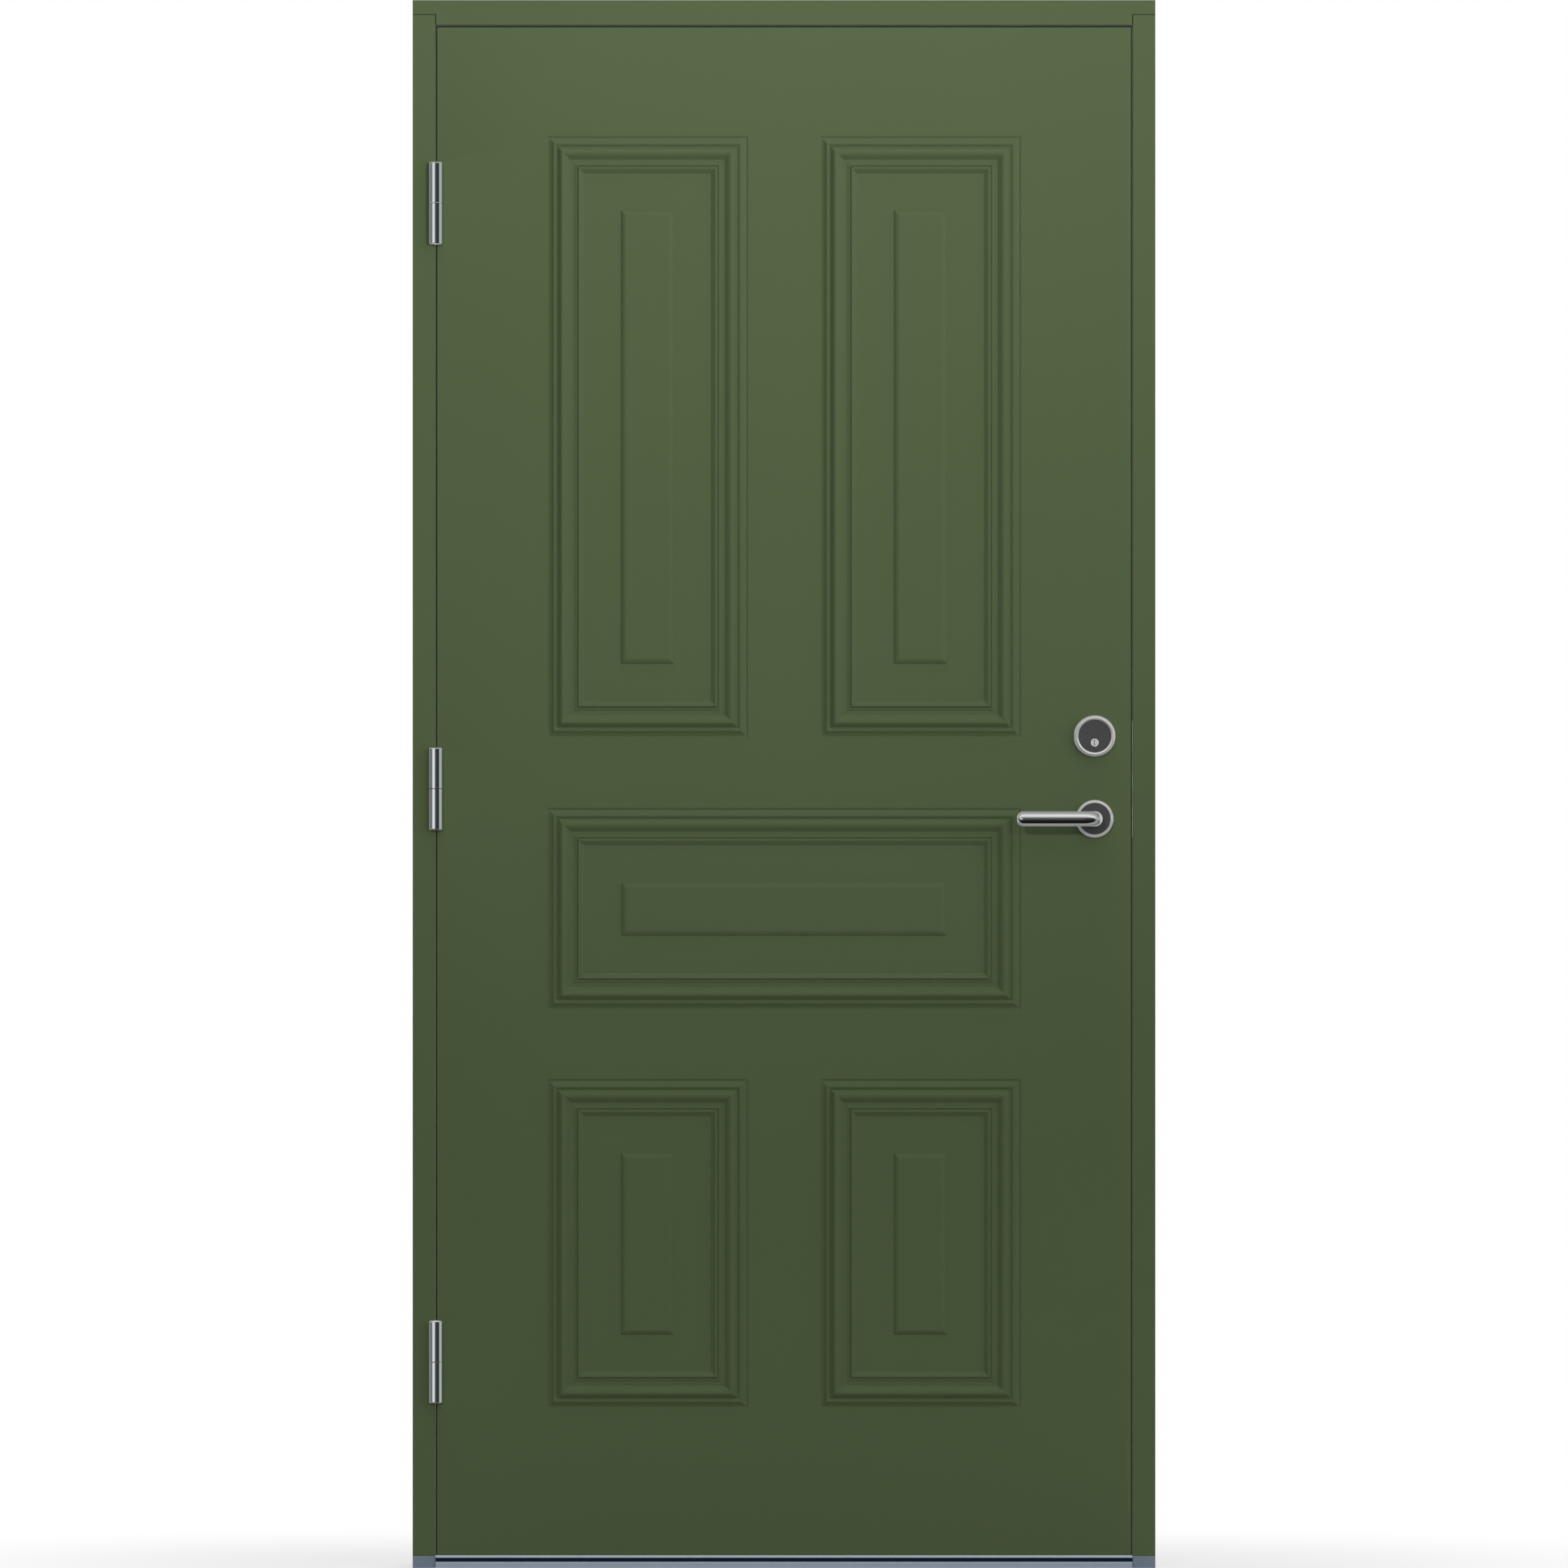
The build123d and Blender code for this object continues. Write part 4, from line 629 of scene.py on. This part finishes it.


# The neck that guides the lever is lacquered dark like the disc, and the rim is bright. The key plug is plain
# nickel, and its dark edge is painted shade for the gap round the plug.
neck_r = 0.0135
lacquer = ((0.07, 0.07, 0.07), 0.0)
bright_rim = ((0.83, 0.83, 0.82), 0.5)
rose_chrome = ringed_metal("rose_chrome", (lever_x, lever_z), neck_r, lacquer, bright_rim)
dress(rose_chrome, "outer_rose", "inner_rose")
plug_face_r = 0.0054
plug_face = ((0.87, 0.87, 0.86), 0.35)
# The plug's dark edge is painted shade, standing in for the shadow in the gap round the plug.
plug_edge_shade = ((0.03, 0.03, 0.03), 0.0)
plug_nickel = ringed_metal("plug_nickel", (lever_x, plug_z), plug_face_r, plug_face, plug_edge_shade)
dress(plug_nickel, "key_plug")
face_dark = grained(
    "dark_lacquer",
    (0.062, 0.062, 0.062),
    (0.076, 0.076, 0.076),
    grain_scale=1800.0,
    roughness=0.5,
    spread=0.1,
    depth=0.00001,
    specular=0.3,
)
dress(face_dark, "cylinder_body", "outer_rose_disc", "inner_rose_disc")

# Studio: a plain pale floor, a soft box with a grid that brightens the upper half, and broad even light from
# the front, the right and above. A soft box behind lights the inner side, and a light from the left lights
# the hinge side.
floor_plan = bmesh.new()
bmesh.ops.create_grid(floor_plan, x_segments=1, y_segments=1, size=6)
mesh = bpy.data.meshes.new("floor")
floor_plan.to_mesh(mesh)
floor_plan.free()
floor = put("floor", mesh)

# The floor is lit near the door, where the shadow lies, and fades to plain white within shadow_reach.
door_half_w = 0.5
door_half_d = 0.05
shadow_reach = 0.9
floor_white, place = new_material("pale_floor")
axes = place.node("ShaderNodeSeparateXYZ", {}, {"Vector": place})
beside = place.maths("MAXIMUM", abs(axes.output("X")) - door_half_w)
before = place.maths("MAXIMUM", abs(axes.output("Y")) - door_half_d)
away = place.maths("SQRT", beside * beside + before * before)
fade = place.node(
    "ShaderNodeMapRange",
    {"interpolation_type": "SMOOTHSTEP"},
    {"Value": away, "From Min": 0.0, "From Max": shadow_reach, "To Min": 0.7, "To Max": 1.0},
)
camera_ray = place.node("ShaderNodeLightPath", {}, {}, "Is Camera Ray")
matt = place.node("ShaderNodeBsdfDiffuse", {}, {"Color": (0.55, 0.55, 0.55, 1)})
white = place.node("ShaderNodeEmission", {}, {"Color": (1, 1, 1, 1), "Strength": 1.0})
shown = place.node("ShaderNodeMixShader", {}, {0: camera_ray * fade, 1: matt, 2: white})
place.node("ShaderNodeOutputMaterial", {}, {"Surface": shown})
floor.data.materials.append(floor_white)
floor.visible_glossy = False


def shine(light, toward, at=(0, 0, 0)):
    """Hangs a light at a place and turns it one way. Metal doesn't mirror it."""
    holder = put(light.name, light)
    holder.location = at
    holder.rotation_euler = Vector(toward).to_track_quat("-Z", "Y").to_euler()
    holder.visible_glossy = False
    holder.visible_camera = False


def soft_box(name, at, toward, width, height, watts, spread):
    """A rectangular lamp whose grid keeps its light within a spread in degrees."""
    light = bpy.data.lights.new(name, "AREA")
    light.shape = "RECTANGLE"
    light.size = width
    light.size_y = height
    light.energy = watts
    light.spread = math.radians(spread)
    shine(light, toward, at)


def far_light(name, toward, energy, angle):
    """A light so far away that it reaches every part alike. A large angle makes its shadows soft."""
    light = bpy.data.lights.new(name, "SUN")
    light.energy = energy
    light.angle = math.radians(angle)
    shine(light, toward)


soft_box("key", (2.4, face_y - 6.0, 2.4), (-0.4, 1, 0), width=1.2, height=0.3, watts=7.0, spread=31.6)
soft_box("rear", (1.2, 4.0, 2.6), (-1.2, -4.0, -1.6), width=2.0, height=2.0, watts=160, spread=180)
far_light("front", (0.24, 1, -0.26), energy=0.64, angle=4)
far_light("side", (-0.8, 0.6, -0.2), energy=1.02, angle=60)
far_light("top", (0, 0.6, -0.8), energy=0.66, angle=60)
far_light("overhead", (0, 0.05, -1), energy=0.5, angle=30)
far_light("left", (1, -0.35, -0.15), energy=1.1, angle=30)

# The metal mirrors the studio alone, as it does where white cards stand close round it.
for piece in (outer_skin, inner_skin, *nodes.values()):
    piece.visible_glossy = False

world = bpy.data.worlds.new("studio")
bpy.context.scene.world = world
world.use_nodes = True
world.node_tree.nodes.clear()
room = Wire(world.node_tree)
toward = room.node("ShaderNodeTexCoord", {}, {}, "Generated")
axes = room.node("ShaderNodeSeparateXYZ", {}, {"Vector": toward})
east, north, up = (axes.output(axis) for axis in "XYZ")
south = 0.0 - north
turn = room.maths("ARCTAN2", east, south) * (0.5 / math.pi) + 0.5
tilt = room.maths("ARCTAN2", up, south) * (0.5 / math.pi) + 0.5


def studio(factor, marks):
    """What polished metal sees round a full turn: (degrees from straight in front, brightness, blueness)."""
    stops = []
    for angle, level, blue in marks:
        stops.append(((angle + 180) / 360, (level * (1 - blue), level * (1 - blue * 0.3), level)))
    return room.node("ShaderNodeValToRGB", {"stops": stops}, {"Fac": factor})


across = studio(
    turn,
    [
        (-180, 1.0, 0), (-150, 0.5, 0), (-138, 0.22, 0.05), (-106, 0.13, 0.1), (-83, 0.11, 0.15),
        (-64, 0.5, 0.05), (-50, 0.85, 0.02), (-30, 0.9, 0.02), (-18, 0.65, 0.02), (-8, 0.3, 0.05),
        (0, 0.12, 0.1), (17, 0.045, 0.2), (33, 0.05, 0.3), (50, 0.03, 0.35), (67, 0.08, 0.2),
        (85, 0.5, 0.08), (111, 0.42, 0.1), (140, 0.5, 0), (180, 1.0, 0),
    ],
)
upward = studio(
    tilt,
    [
        (-180, 1.0, 0), (-150, 0.16, 0), (-120, 0.24, 0), (-96, 0.4, 0), (-84, 0.3, 0), (-72, 0.02, 0),
        (-58, 0.003, 0), (-30, 0.018, 0), (-5, 0.035, 0), (8, 0.08, 0), (18, 0.2, 0), (30, 0.5, 0),
        (45, 0.88, 0), (60, 0.85, 0), (75, 0.6, 0), (90, 0.46, 0), (112, 0.38, 0), (140, 0.2, 0),
        (180, 1.0, 0),
    ],
)

# A level look sees the walls of the studio, and a steep one its ceiling or its floor.
steepness = room.node("ShaderNodeMapRange", {}, {"Value": abs(up), "From Min": 0.03, "From Max": 0.25})
seen = room.node("ShaderNodeMix", {"data_type": "RGBA"}, {0: steepness, 6: across, 7: upward}, 2)
paths = room.node("ShaderNodeLightPath", {}, {})
soft_light = room.node("ShaderNodeBackground", {}, {"Color": (1, 1, 1, 1), "Strength": 0.03})
reflected = room.node("ShaderNodeBackground", {}, {"Color": seen, "Strength": 1.0})
plain_white = room.node("ShaderNodeBackground", {}, {"Color": (1, 1, 1, 1), "Strength": 1.0})
lit = room.node("ShaderNodeMixShader", {}, {0: paths.output("Is Glossy Ray"), 1: soft_light, 2: reflected})
shown_white = room.maths("MAXIMUM", paths.output("Is Camera Ray"), paths.output("Is Transmission Ray"))
sky = room.node("ShaderNodeMixShader", {}, {0: shown_white, 1: lit, 2: plain_white})
room.node("ShaderNodeOutputWorld", {}, {"Surface": sky})

bpy.context.scene.view_settings.view_transform = "Standard"
